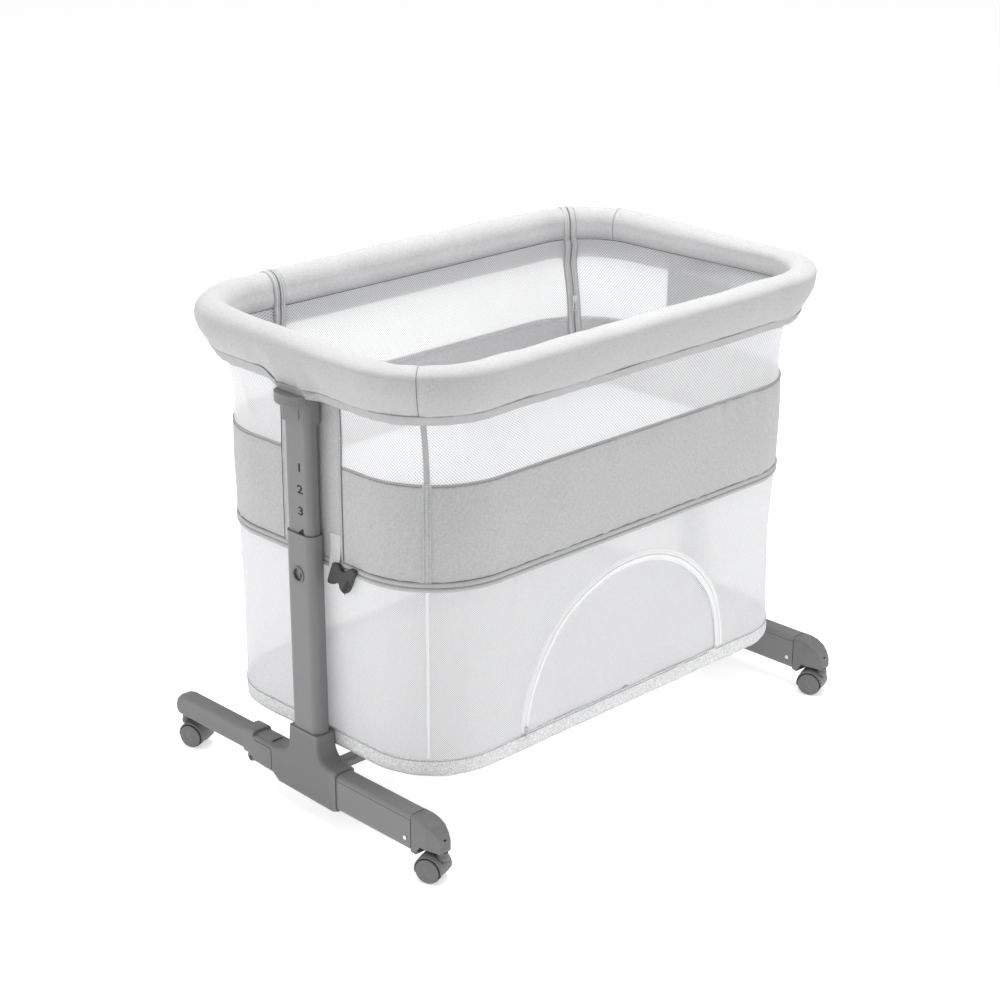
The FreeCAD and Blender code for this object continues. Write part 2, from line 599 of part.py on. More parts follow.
# ---------------------------------------------------------------- top rail
def loop_path(body, name, z, hx, hy, r):
    """Closed rounded rectangle that starts in the middle of the +X end."""
    hx, hy, r = Q.of(hx), Q.of(hy), Q.of(r)
    a, b, c = hx.v, hy.v, r.v
    sk = body.newObject("Sketcher::SketchObject", name)
    attach(sk, body, "XY", 0, 0, z)
    V = lambda u, v: Vector(u, v, 0)
    arc = lambda u, v, s: Part.ArcOfCircle(Part.Circle(V(u, v), Vector(0, 0, 1), c),
                                           math.radians(s), math.radians(s + 90))
    sk.addGeometry([
        Part.LineSegment(V(a, 0), V(a, b - c)), arc(a - c, b - c, 0),
        Part.LineSegment(V(a - c, b), V(-a + c, b)), arc(-a + c, b - c, 90),
        Part.LineSegment(V(-a, b - c), V(-a, -b + c)), arc(-a + c, -b + c, 180),
        Part.LineSegment(V(-a + c, -b), V(a - c, -b)), arc(a - c, -b + c, 270),
        Part.LineSegment(V(a, -b + c), V(a, 0))], False)
    C = Sketcher.Constraint
    sk.addConstraint([C("Tangent", i, 2, i + 1, 1) for i in range(8)])
    sk.addConstraint([C("Coincident", 8, 2, 0, 1), C("PointOnObject", 0, 1, -1),
                      C("Vertical", 0), C("Horizontal", 2), C("Vertical", 4), C("Horizontal", 6),
                      C("Vertical", 8), C("Equal", 1, 3), C("Equal", 3, 5), C("Equal", 5, 7)])
    drive(sk, "Radius", (1,), r)
    drive(sk, "DistanceX", (-1, 1, 0, 1), hx)
    drive(sk, "DistanceX", (4, 1, 0, 1), hx * 2)
    drive(sk, "DistanceY", (6, 1, 2, 1), hy * 2)
    drive(sk, "DistanceY", (-1, 1, 2, 1), hy)
    return sk


def loop(name, z, hx, hy, r, section):
    b = body_of(name)
    path = loop_path(b, name + "_path", z, hx, hy, r)
    prof = section(b)
    doc.recompute()
    f = b.newObject("PartDesign::AdditivePipe", name + "_pipe")
    f.Profile = prof
    f.Spine = (path, [])
    f.Mode = "Frenet"
    b.Tip = f
    doc.recompute()
    return b


def ring_section(r):
    return lambda b: circle(b, b.Name + "_sec", "XZ", d.rail_hx, d.rail_cz, 0, r)


def pad_section(b):
    R = d.pad_r
    sk = b.newObject("Sketcher::SketchObject", b.Name + "_sec")
    attach(sk, b, "XZ", d.rail_hx, d.rail_cz, 0)
    r = R.v
    low = [(23.2, -12.0), (5.0, -56.5), (-15.0, -72.0), (-20.0, -72.0), (-23.0, -38.0)]
    V = lambda u, v: Vector(u, v, 0)
    P = [V(r, 0)] + [V(u, v) for u, v in low] + [V(-r, 0)]
    g = [Part.LineSegment(P[i], P[i + 1]) for i in range(len(P) - 1)]
    g.append(Part.ArcOfCircle(Part.Circle(V(0, 0), Vector(0, 0, 1), r), 0.0, math.pi))
    sk.addGeometry(g, False)
    C = Sketcher.Constraint
    n = len(g) - 1
    sk.addConstraint([C("Coincident", i, 2, i + 1, 1) for i in range(n - 1)])
    sk.addConstraint([C("Coincident", n - 1, 2, n, 2), C("Coincident", n, 1, 0, 1),
                      C("Coincident", n, 3, -1, 1), C("PointOnObject", 0, 1, -1),
                      C("PointOnObject", n, 2, -1)])
    drive(sk, "Radius", (n,), R)
    exprs = [(R - 0.8, Q.of(-12.0)), (d.pad_seam_dx, d.pad_seam_z - d.rail_cz),
             (-d.trim_dx, d.trim_z - d.rail_cz), (-d.trim_dx - 5, d.trim_z - d.rail_cz),
             (1 - R, d.inner_seam_z - d.rail_cz)]
    for i, (u, v) in enumerate(exprs):
        drive(sk, "DistanceX", (-1, 1, i, 2), u)
        drive(sk, "DistanceY", (-1, 1, i, 2), v)
    return sk


RAIL = (d.rail_hx, d.rail_hy, d.rail_cr)
tube_out = loop("rail_tube_out", d.rail_cz, *RAIL, ring_section(d.rail_tube_r))
tube_in = loop("rail_tube_in", d.rail_cz, *RAIL, ring_section(d.rail_tube_r - d.rail_tube_wall))
tube_loop = cut("rail_tube_loop", tube_out, tube_in)
pad_out = loop("rail_pad_out", d.rail_cz, *RAIL, pad_section)
tube_void = loop("rail_pad_void", d.rail_cz, *RAIL, ring_section(d.rail_tube_r + 0.1))
pad_loop = cut("rail_pad_loop", pad_out, tube_void)


def zone(name, grow):
    g = d.gate_gap / 2 * (1 if grow else -1)
    return box(name, d.gate_x0 - g, d.gate_x1 + g, 120, 400, d.gate_z - g, 900)


keep(cut("rail_tube_fixed", tube_loop, zone("zone_a", True)), "rail_tube")
keep(common("rail_tube_gate", tube_loop, zone("zone_b", False)), "drop_side_tube")
room = []
for sx in (-1, 1):
    xc = d.post_x * sx
    room.append(box("head_room", xc - d.cap_d / 2 - 0.4, xc + d.cap_d / 2 + 0.4,
                    PY - d.cap_w / 2 - 0.4, PY + d.cap_w / 2 + 0.4, d.cap_z0, d.cap_z1 + 0.4))
    room.append(box("saddle_room", xc - 9.4, xc + 9.4, PY - 18.4, PY + 18.4, d.cap_z1, d.rail_cz - 4))
keep(cut("rail_pad_fixed", pad_loop, zone("zone_c", True), *room), "rail_padding")
keep(common("rail_pad_gate", pad_loop, zone("zone_d", False)), "drop_side_padding")


# ---------------------------------------------------------------- cloth walls
def wall(name, z0, a0, b0, r0, z1, a1, b1, r1, t):
    b = body_of(name)
    o0 = rrect(b, name + "_o0", "XY", 0, 0, z0, a0, b0, r0)
    o1 = rrect(b, name + "_o1", "XY", 0, 0, z1, a1, b1, r1)
    i0 = rrect(b, name + "_i0", "XY", 0, 0, z0, Q.of(a0) - t, Q.of(b0) - t, Q.of(r0) - t)
    i1 = rrect(b, name + "_i1", "XY", 0, 0, z1, Q.of(a1) - t, Q.of(b1) - t, Q.of(r1) - t)
    doc.recompute()
    f = b.newObject("PartDesign::AdditiveLoft", name + "_shell")
    f.Profile = o0
    f.Sections = [o1]
    f.Ruled = True
    b.Tip = f
    doc.recompute()
    before = b.Shape.Volume
    g = b.newObject("PartDesign::SubtractiveLoft", name + "_hollow")
    g.Profile = i0
    g.Sections = [i1]
    g.Ruled = True
    b.Tip = g
    doc.recompute()
    if not b.Shape.Volume < before * 0.5:
        raise RuntimeError(name + " was not hollowed")
    return b


mesh = wall("mesh_loop", d.band_top_z + 0.2, d.band_top_hx, d.band_top_hy, d.band_top_r,
            d.trim_z - 0.2, d.mesh_top_hx, d.mesh_top_hy, d.mesh_top_r, d.mesh_wall_t)
band = wall("band_loop", d.band_bot_z, d.band_bot_hx, d.band_bot_hy, d.band_bot_r,
            d.band_top_z, d.band_top_hx, d.band_top_hy, d.band_top_r, d.band_t)
stor = wall("storage_loop", d.hem_top_z + 0.1, d.hem_hx, d.hem_hy, d.hem_cr,
            d.band_bot_z - 0.2, d.band_bot_hx, d.band_bot_hy, d.band_bot_r, d.mesh_wall_t)
hem = tube("storage_hem", "XY", 0, 0, d.hem_bot_z, d.hem_hx, d.hem_hy, d.hem_cr, d.hem_thick,
           d.hem_top_z - d.hem_bot_z)
keep(cut("mesh_fixed", mesh, zone("zone_e", True)), "mesh_wall")
keep(cut("band_fixed", band, zone("zone_f", True)), "fabric_band")
keep(common("mesh_gate", mesh, zone("zone_g", False)), "drop_side_mesh")
keep(common("band_gate", band, zone("zone_h", False)), "drop_side_band")
keep(hem, "storage_hem")


def arch(name, radius, z0):
    """Half disc on the front wall with a short straight foot, through the wall."""
    disc = rod(name + "_disc", "y", d.door_cx, -300, d.door_cz, radius, 80)
    low = box(name + "_low", -600, 600, -310, -200, -100, z0)
    return cut(name, disc, low)


keep(cut("storage_wall_cut", stor, arch("door_hole", d.door_radius + 0.6, d.hem_top_z - 1)), "storage_mesh")
keep(common("storage_door_c", stor, arch("door_panel", d.door_radius - 0.6, d.hem_top_z + 1.2)), "storage_door")
fl = prism("storage_floor", "XY", 0, 0, d.hem_bot_z + 2, d.hem_hx - d.hem_thick - 0.1,
           d.hem_hy - d.hem_thick - 0.1, d.hem_cr - d.hem_thick, d.floor_thick)
keep(fl, "storage_floor")

# ---------------------------------------------------------------- mattress
ring = loop("mattress_ring", d.band_bot_z + 8, d.band_bot_hx - d.band_t - d.ring_r - 1,
            d.band_bot_hy - d.band_t - d.ring_r - 1, 127,
            lambda b: circle(b, "ring_sec", "XZ", d.band_bot_hx - d.band_t - d.ring_r - 1,
                             d.band_bot_z + 8, 0, d.ring_r))
keep(ring, "mattress_frame")
board = prism("mattress_board", "XY", 0, 0, d.band_bot_z + 4, d.mattress_hx - 10, d.mattress_hy - 8,
              d.mattress_cr - 6, d.board_thick)
keep(board, "mattress_board")
mat = prism("mattress", "XY", 0, 0, d.band_bot_z + 14.4, d.mattress_hx, d.mattress_hy,
            d.mattress_cr, d.mattress_thick)
rounded(mat, "mattress_edge", 7, lambda e: e.BoundBox.ZLength < 1e-3)
keep(mat, "mattress")

# ---------------------------------------------------------------- small hardware
# buckle of the bed strap, hanging from the binding beside the left post
bk = body_of("strap_buckle")
prof = [(-50, 414), (-62, 418), (-70, 413), (-76, 405), (-84, 404), (-92, 411), (-103, 403),
        (-97, 381), (-88, 379), (-80, 392), (-68, 397), (-60, 390), (-50, 392), (-47, 400)]
pad(bk, "strap_buckle_pad", outline(bk, "strap_buckle_sk", "YZ", 0, 0, -434,
                                    [(Q.of(a), Q.of(b)) for a, b in prof]), 7)
keep(bk, "strap_buckle")
st = box("bed_strap", -426.6, -425.2, -72, -50, 396, 470)
keep(st, "bed_strap")

# zip sliders: two on the drop side (inside of the wall), one on the storage door
def slider(name, x, y, z, yaw, label):
    b = doc.addObject("Part::Box", name)
    b.Length, b.Width, b.Height = 9, 4, 14
    e = doc.addObject("Part::Box", name + "_pull")
    e.Length, e.Width, e.Height = 6, 1.6, 26
    e.Placement = FreeCAD.Placement(Vector(1.5, -1.4, -20), Rotation())
    f = fuse(name + "_f", b, e)
    f.Placement = FreeCAD.Placement(Vector(x, y, z), Rotation(Vector(0, 0, 1), yaw), Vector(4.5, 4, 7))
    return keep(f, label)


doc.recompute()
slider("zip_rl", -268 - 4.5, 256.5 - 4.0, 601, 0, "drop_side_slider_left")
slider("zip_rr", 375.1 - 4.5, 228.6 - 4.0, 601, -39, "drop_side_slider_right")
zs = doc.addObject("Part::Box", "zip_st")
zs.Length, zs.Width, zs.Height = 9, 3.4, 12
zs.Placement = FreeCAD.Placement(Vector(-7 - 216 - 11, -256.7, 143.5), Rotation())
zp = doc.addObject("Part::Box", "zip_st_pull")
zp.Length, zp.Width, zp.Height = 5, 1.6, 22
zp.Placement = FreeCAD.Placement(Vector(-7 - 216 - 9, -257.9, 127), Rotation())
keep(fuse("zip_st_f", zs, zp), "storage_door_slider")

# ---------------------------------------------------------------- write
doc.recompute()
bad = []
for o in doc.Objects:
    if "Invalid" in o.State or "Error" in o.State:
        bad.append("%s (%s)" % (o.Name, o.Label))
if bad:
    raise RuntimeError("failed objects: " + ", ".join(bad))
os.makedirs("parts", exist_ok=True)
names = set()
for o in KEPT:
    s = o.Shape
    if s.isNull() or not s.isValid() or not s.Solids:
        raise RuntimeError("bad shape: " + o.Label)
    if o.Label in names:
        raise RuntimeError("twice: " + o.Label)
    names.add(o.Label)
for o in KEPT:
    o.Shape.exportStep(os.path.join("parts", o.Label + ".step"))
bb = [1e9, 1e9, 1e9, -1e9, -1e9, -1e9]
for o in KEPT:
    q = o.Shape.optimalBoundingBox(False)
    bb = [min(bb[0], q.XMin), min(bb[1], q.YMin), min(bb[2], q.ZMin),
          max(bb[3], q.XMax), max(bb[4], q.YMax), max(bb[5], q.ZMax)]
print(len(KEPT), "nodes", [round(v, 2) for v in bb])
for o in KEPT:
    q = o.Shape.optimalBoundingBox(False)
    print("%-26s solids %d vol %.0f  x %.1f %.1f y %.1f %.1f z %.1f %.1f" % (
        o.Label, len(o.Shape.Solids), o.Shape.Volume, q.XMin, q.XMax, q.YMin, q.YMax, q.ZMin, q.ZMax))
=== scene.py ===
import bpy
import json
import math
import numpy as np
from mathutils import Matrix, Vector


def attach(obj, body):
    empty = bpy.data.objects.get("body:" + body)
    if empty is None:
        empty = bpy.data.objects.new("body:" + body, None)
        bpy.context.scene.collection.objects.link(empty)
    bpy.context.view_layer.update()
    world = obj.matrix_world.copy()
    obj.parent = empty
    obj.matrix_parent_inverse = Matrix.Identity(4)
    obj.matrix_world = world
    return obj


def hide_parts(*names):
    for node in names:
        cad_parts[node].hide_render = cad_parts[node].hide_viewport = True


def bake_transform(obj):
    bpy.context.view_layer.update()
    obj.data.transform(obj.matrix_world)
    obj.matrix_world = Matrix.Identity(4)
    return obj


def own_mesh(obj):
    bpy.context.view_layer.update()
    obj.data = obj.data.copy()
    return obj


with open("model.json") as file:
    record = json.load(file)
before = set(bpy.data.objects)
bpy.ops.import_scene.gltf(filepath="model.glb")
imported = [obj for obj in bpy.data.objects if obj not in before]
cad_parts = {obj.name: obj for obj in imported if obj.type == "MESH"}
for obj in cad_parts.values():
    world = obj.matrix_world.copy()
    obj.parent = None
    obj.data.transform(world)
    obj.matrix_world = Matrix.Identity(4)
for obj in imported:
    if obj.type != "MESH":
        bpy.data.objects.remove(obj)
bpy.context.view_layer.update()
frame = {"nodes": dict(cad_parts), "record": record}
CAD = frame["nodes"]
MM = 0.001
TAU = 2 * math.pi

# =====================================================================
# node materials
# =====================================================================


class Nodes:
    """Small helper that builds a node tree with plain calls."""

    def __init__(self, name):
        self.m = bpy.data.materials.new(name)
        self.m.use_nodes = True
        self.t = self.m.node_tree
        self.t.nodes.clear()
        self.out = self.t.nodes.new("ShaderNodeOutputMaterial")

    def n(self, kind, **props):
        o = self.t.nodes.new(kind)
        for k, v in props.items():
            setattr(o, k, v)
        return o

    def link(self, a, b):
        self.t.links.new(a, b)

    def put(self, sock, v):
        if isinstance(v, bpy.types.NodeSocket):
            self.link(v, sock)
        else:
            sock.default_value = v

    def math(self, op, a, b=None, clamp=False):
        o = self.n("ShaderNodeMath", operation=op, use_clamp=clamp)
        self.put(o.inputs[0], a)
        if b is not None:
            self.put(o.inputs[1], b)
        return o.outputs[0]

    def ramp(self, v, a, b, lo=0.0, hi=1.0, smooth=True):
        o = self.n("ShaderNodeMapRange", interpolation_type="SMOOTHSTEP" if smooth else "LINEAR")
        self.put(o.inputs["Value"], v)
        for k, x in (("From Min", a), ("From Max", b), ("To Min", lo), ("To Max", hi)):
            o.inputs[k].default_value = x
        return o.outputs[0]

    def mixc(self, f, a, b):
        o = self.n("ShaderNodeMix", data_type="RGBA")
        self.put(o.inputs[0], f)
        for s, c in ((o.inputs[6], a), (o.inputs[7], b)):
            if isinstance(c, bpy.types.NodeSocket):
                self.link(c, s)
            else:
                s.default_value = (*c, 1.0)
        return o.outputs[2]

    def noise(self, vec, scale, detail=2.0, rough=0.5):
        o = self.n("ShaderNodeTexNoise")
        self.link(vec, o.inputs["Vector"])
        o.inputs["Scale"].default_value = scale
        o.inputs["Detail"].default_value = detail
        o.inputs["Roughness"].default_value = rough
        return o.outputs["Fac"]

    def scaled(self, vec, s):
        o = self.n("ShaderNodeMapping")
        self.link(vec, o.inputs["Vector"])
        o.inputs["Scale"].default_value = s
        return o.outputs[0]

    def bump(self, height, dist, strength=1.0, normal=None):
        o = self.n("ShaderNodeBump")
        o.inputs["Strength"].default_value = strength
        o.inputs["Distance"].default_value = dist
        self.link(height, o.inputs["Height"])
        if normal is not None:
            self.link(normal, o.inputs["Normal"])
        return o.outputs[0]


def grey(v, tint=0.0):
    return (v, v, v * (1 + tint))


def mat_moulded(name, v, rough=0.5, grain=0.00006, mottle=0.05, spec=0.4):
    """Moulded or coated surface: fine spark-eroded grain, faint mottle, and a painted highlight that lightens convex
    edges.
    """
    k = Nodes(name)
    co = k.n("ShaderNodeTexCoord").outputs["Object"]
    fine = k.noise(co, 1500.0, 3.0, 0.6)
    broad = k.noise(co, 38.0, 2.0, 0.5)
    geo = k.n("ShaderNodeNewGeometry")
    # painted highlight: convex edges, found by pointiness, are mixed towards a lighter grey
    edge = k.ramp(geo.outputs["Pointiness"], 0.52, 0.62, 0.0, 0.22)
    b = k.n("ShaderNodeBsdfPrincipled")
    c0 = k.mixc(broad, grey(v * (1 - mottle)), grey(v * (1 + mottle)))
    c1 = k.mixc(k.math("MULTIPLY", fine, 0.5), c0, grey(v * 1.12))
    k.link(k.mixc(edge, c1, grey(min(1.0, v * 1.9))), b.inputs["Base Color"])
    k.link(k.ramp(fine, 0.2, 0.8, rough - 0.06, rough + 0.08), b.inputs["Roughness"])
    b.inputs["Specular IOR Level"].default_value = spec
    k.link(k.bump(fine, grain, 0.7), b.inputs["Normal"])
    k.link(b.outputs[0], k.out.inputs[0])
    return k.m


def mat_metal(name, v, rough=0.28, brush=True):
    k = Nodes(name)
    co = k.n("ShaderNodeTexCoord").outputs["Object"]
    streak = k.noise(k.scaled(co, (1.0, 1.0, 12.0)), 900.0, 2.0, 0.6)
    b = k.n("ShaderNodeBsdfPrincipled")
    b.inputs["Metallic"].default_value = 1.0
    k.link(k.mixc(streak, grey(v * 0.85), grey(v)), b.inputs["Base Color"])
    k.link(k.ramp(streak, 0.2, 0.8, rough - 0.08, rough + 0.1), b.inputs["Roughness"])
    k.link(k.bump(streak, 0.00004, 0.5), b.inputs["Normal"])
    k.link(b.outputs[0], k.out.inputs[0])
    return k.m


def weave_height(k, uv, period):
    """Plain weave: warp and weft threads that pass over and under each other."""
    sep = k.n("ShaderNodeSeparateXYZ")
    k.link(uv, sep.inputs[0])
    f = math.pi / period
    a = k.math("SINE", k.math("MULTIPLY", sep.outputs[0], f))
    b = k.math("SINE", k.math("MULTIPLY", sep.outputs[1], f))
    over = k.math("MULTIPLY", k.math("COSINE", k.math("MULTIPLY", sep.outputs[0], f)),
                  k.math("COSINE", k.math("MULTIPLY", sep.outputs[1], f)))
    h = k.math("ADD", k.math("MULTIPLY", k.math("ABSOLUTE", a), k.math("ABSOLUTE", b)),
               k.math("MULTIPLY", over, 0.25))
    return h


def mat_cloth(name, v, tint=0.012, mel=0.10, period=0.0011, flecks=0.10, bump=0.00022,
              sheen=0.25, rough=0.9, shade=0.05, through=0.0, mott=0.35):
    """Woven melange cloth: light and dark yarns, plain weave, soft sheen and faint uneven tone."""
    k = Nodes(name)
    uv = k.n("ShaderNodeTexCoord").outputs["UV"]
    warp = k.noise(k.scaled(uv, (1.0, 0.16, 1.0)), 1150.0, 2.0, 0.7)
    weft = k.noise(k.scaled(uv, (0.16, 1.0, 1.0)), 1150.0, 2.0, 0.7)
    yarn = k.math("MULTIPLY", k.math("ADD", warp, weft), 0.5)
    broad = k.noise(uv, 16.0, 3.0, 0.55)
    heather = k.math("MULTIPLY", k.math("ADD", k.noise(k.scaled(uv, (1.0, 0.35, 1.0)), 330.0, 3.0, 0.65),
                                        k.noise(k.scaled(uv, (0.35, 1.0, 1.0)), 330.0, 3.0, 0.65)), 0.5)
    speck = k.noise(uv, 620.0, 1.0, 0.5)
    h = weave_height(k, uv, period)
    lo, hi = v * (1 - mel), min(1.0, v * (1 + mel))
    c = k.mixc(k.ramp(yarn, 0.36, 0.64), grey(lo, tint), grey(hi, tint))
    c = k.mixc(k.ramp(heather, 0.50, 0.66, 0.0, mott), c, grey(v * 0.72, tint))
    c = k.mixc(k.ramp(heather, 0.50, 0.36, 0.0, mott), c, grey(min(1.0, v * 1.22), tint))
    c = k.mixc(k.ramp(speck, 0.60, 0.76, 0.0, flecks * 3), c, grey(v * 0.62, tint))
    c = k.mixc(k.ramp(speck, 0.40, 0.26, 0.0, flecks * 3), c, grey(min(1.0, v * 1.25), tint))
    c = k.mixc(k.ramp(broad, 0.35, 0.70, 0.0, shade * 2), c, grey(v * 0.86, tint))
    # painted shade: colour is darkened at the low points of the weave, between the threads
    c = k.mixc(k.ramp(h, 0.0, 0.45, 0.22, 0.0), c, grey(v * 0.45, tint))
    b = k.n("ShaderNodeBsdfPrincipled")
    k.link(c, b.inputs["Base Color"])
    b.inputs["Roughness"].default_value = rough
    b.inputs["Specular IOR Level"].default_value = 0.18
    b.inputs["Sheen Weight"].default_value = sheen
    b.inputs["Sheen Roughness"].default_value = 0.5
    n1 = k.bump(h, bump, 0.8)
    fuzz = k.bump(k.noise(uv, 2600.0, 1.0, 0.5), 0.0001, 0.5, n1)
    k.link(fuzz, b.inputs["Normal"])
    if through:
        tr = k.n("ShaderNodeBsdfTranslucent")
        k.link(c, tr.inputs["Color"])
        mix = k.n("ShaderNodeMixShader")
        mix.inputs[0].default_value = through
        k.link(b.outputs[0], mix.inputs[1])
        k.link(tr.outputs[0], mix.inputs[2])
        k.link(mix.outputs[0], k.out.inputs[0])
    else:
        k.link(b.outputs[0], k.out.inputs[0])
    return k.m


def mat_net(name, v, period=0.0031, thick_a=0.42, thick_b=0.30, fill=0.30, tint=0.01, through=0.45):
    """Warp-knit net: two families of slanting threads, see-through between them."""
    k = Nodes(name)
    uv = k.n("ShaderNodeTexCoord").outputs["UV"]
    sep = k.n("ShaderNodeSeparateXYZ")
    k.link(uv, sep.inputs[0])
    wob = k.math("MULTIPLY", k.math("SUBTRACT", k.noise(uv, 55.0, 1.0, 0.5), 0.5), 0.0011)
    a = k.math("ADD", k.math("ADD", sep.outputs[0], sep.outputs[1]), wob)
    b = k.math("SUBTRACT", k.math("SUBTRACT", sep.outputs[0], sep.outputs[1]), wob)
    f = TAU / (period * 1.414)
    wa = k.math("COSINE", k.math("MULTIPLY", a, f))
    wb = k.math("COSINE", k.math("MULTIPLY", b, f))
    ta = k.ramp(wa, 1 - 2 * thick_a - 0.15, 1 - 2 * thick_a + 0.15)
    tb = k.ramp(wb, 1 - 2 * thick_b - 0.15, 1 - 2 * thick_b + 0.15)
    thread = k.math("MAXIMUM", ta, tb)
    cover = k.math("MAXIMUM", thread, fill)
    bs = k.n("ShaderNodeBsdfPrincipled")
    tone = k.noise(uv, 500.0, 1.0, 0.5)
    k.link(k.mixc(tone, grey(v * 0.95, tint), grey(min(1.0, v * 1.04), tint)), bs.inputs["Base Color"])
    bs.inputs["Roughness"].default_value = 0.8
    bs.inputs["Specular IOR Level"].default_value = 0.2
    bs.inputs["Sheen Weight"].default_value = 0.15
    k.link(k.bump(thread, 0.00025, 0.6), bs.inputs["Normal"])
    tl = k.n("ShaderNodeBsdfTranslucent")
    tl.inputs["Color"].default_value = (*grey(v, tint), 1.0)
    mx = k.n("ShaderNodeMixShader")
    mx.inputs[0].default_value = through
    k.link(bs.outputs[0], mx.inputs[1])
    k.link(tl.outputs[0], mx.inputs[2])
    hole = k.n("ShaderNodeBsdfTransparent")
    fin = k.n("ShaderNodeMixShader")
    k.link(cover, fin.inputs[0])
    k.link(hole.outputs[0], fin.inputs[1])
    k.link(mx.outputs[0], fin.inputs[2])
    k.link(fin.outputs[0], k.out.inputs[0])
    return k.m


def mat_thread(name, v):
    k = Nodes(name)
    co = k.n("ShaderNodeTexCoord").outputs["Object"]
    f = k.noise(co, 2400.0, 1.0, 0.5)
    b = k.n("ShaderNodeBsdfPrincipled")
    k.link(k.mixc(f, grey(v * 0.75), grey(v * 1.15)), b.inputs["Base Color"])
    b.inputs["Roughness"].default_value = 0.75
    b.inputs["Sheen Weight"].default_value = 0.2
    k.link(k.bump(f, 0.00008, 0.6), b.inputs["Normal"])
    k.link(b.outputs[0], k.out.inputs[0])
    return k.m


COATED = mat_moulded("coated_tube", 0.150, 0.42, 0.00003, 0.03, 0.45)
MOULD = mat_moulded("grey_moulding", 0.150, 0.5, 0.00007, 0.05)
MOULD_DK = mat_moulded("dark_moulding", 0.06, 0.5, 0.00007, 0.06)
CASTER = mat_moulded("caster_moulding", 0.14, 0.46, 0.00006, 0.06)
TREAD = mat_moulded("caster_tread", 0.02, 0.7, 0.0001, 0.15, 0.3)
BUSH = mat_moulded("bush_moulding", 0.12, 0.5)
GROOVE = mat_moulded("shadow_gap", 0.012, 0.9, 0.00005, 0.1, 0.1)
INK = mat_moulded("digit_ink", 0.010, 0.55, 0.00003, 0.1, 0.3)
BUCKLE = mat_moulded("buckle_moulding", 0.045, 0.55, 0.00025, 0.2)
BOARD = mat_moulded("board_plain", 0.70, 0.7, 0.0001, 0.04, 0.2)
STEEL = mat_metal("bright_steel", 0.78, 0.26)
TUBE_ST = mat_moulded("tube_steel", 0.17, 0.4, 0.00003, 0.03)
SCREW = mat_moulded("black_screw", 0.045, 0.4, 0.00005, 0.1)
ZIPM = mat_moulded("zip_metal", 0.58, 0.35, 0.00003, 0.06, 0.5)
RAIL = mat_cloth("rail_cloth", 0.49, mel=0.10, flecks=0.07, mott=0.30)
BAND = mat_cloth("band_cloth", 0.50, mel=0.12, flecks=0.09, mott=0.45)
TRIMC = mat_cloth("trim_cloth", 0.64, mel=0.08, flecks=0.05, period=0.0009, mott=0.25, through=0.35)
BIND = mat_cloth("binding_tape", 0.46, mel=0.08, flecks=0.04, period=0.0013, mott=0.3)
HEMC = mat_cloth("hem_melange", 0.74, mel=0.34, flecks=0.30, period=0.0012, shade=0.16, mott=1.0)
WHITE = mat_cloth("white_cloth", 0.84, mel=0.03, flecks=0.02, shade=0.02, through=0.15, mott=0.05)
MATT = mat_cloth("mattress_knit", 0.84, mel=0.03, flecks=0.02, period=0.0016, bump=0.0003, shade=0.02, mott=0.05)
WEB = mat_cloth("webbing", 0.66, mel=0.10, flecks=0.04, period=0.0016, bump=0.0005)
TAPE = mat_cloth("zip_tape", 0.50, mel=0.05, flecks=0.03, period=0.0009, mott=0.1)
TAPEW = mat_cloth("zip_tape_white", 0.88, mel=0.02, flecks=0.01, period=0.0009, shade=0.01, mott=0.05)
NET_UP = mat_net("wall_mesh", 0.76, 0.0036, 0.40, 0.12, 0.60)
NET_LO = mat_net("storage_net", 0.95, 0.0024, 0.32, 0.18, 0.68)
NET_DR = mat_net("door_net", 0.95, 0.0024, 0.34, 0.20, 0.72)
TH_GREY = mat_thread("thread_grey", 0.26)
TH_DARK = mat_thread("thread_dark", 0.09)
TH_LIGHT = mat_thread("thread_light", 0.60)
SEAMC = mat_cloth("seam_shadow", 0.20, mel=0.1, flecks=0.0)

# =====================================================================
# mesh builders (millimetres in, metres out)
# =====================================================================


def normals_of(G, cu=False, cv=False):
    du = np.roll(G, -1, 1) - np.roll(G, 1, 1) if cu else np.gradient(G, axis=1)
    dv = np.roll(G, -1, 0) - np.roll(G, 1, 0) if cv else np.gradient(G, axis=0)
    n = np.cross(du, dv)
    return n / np.maximum(np.linalg.norm(n, axis=2, keepdims=True), 1e-9)


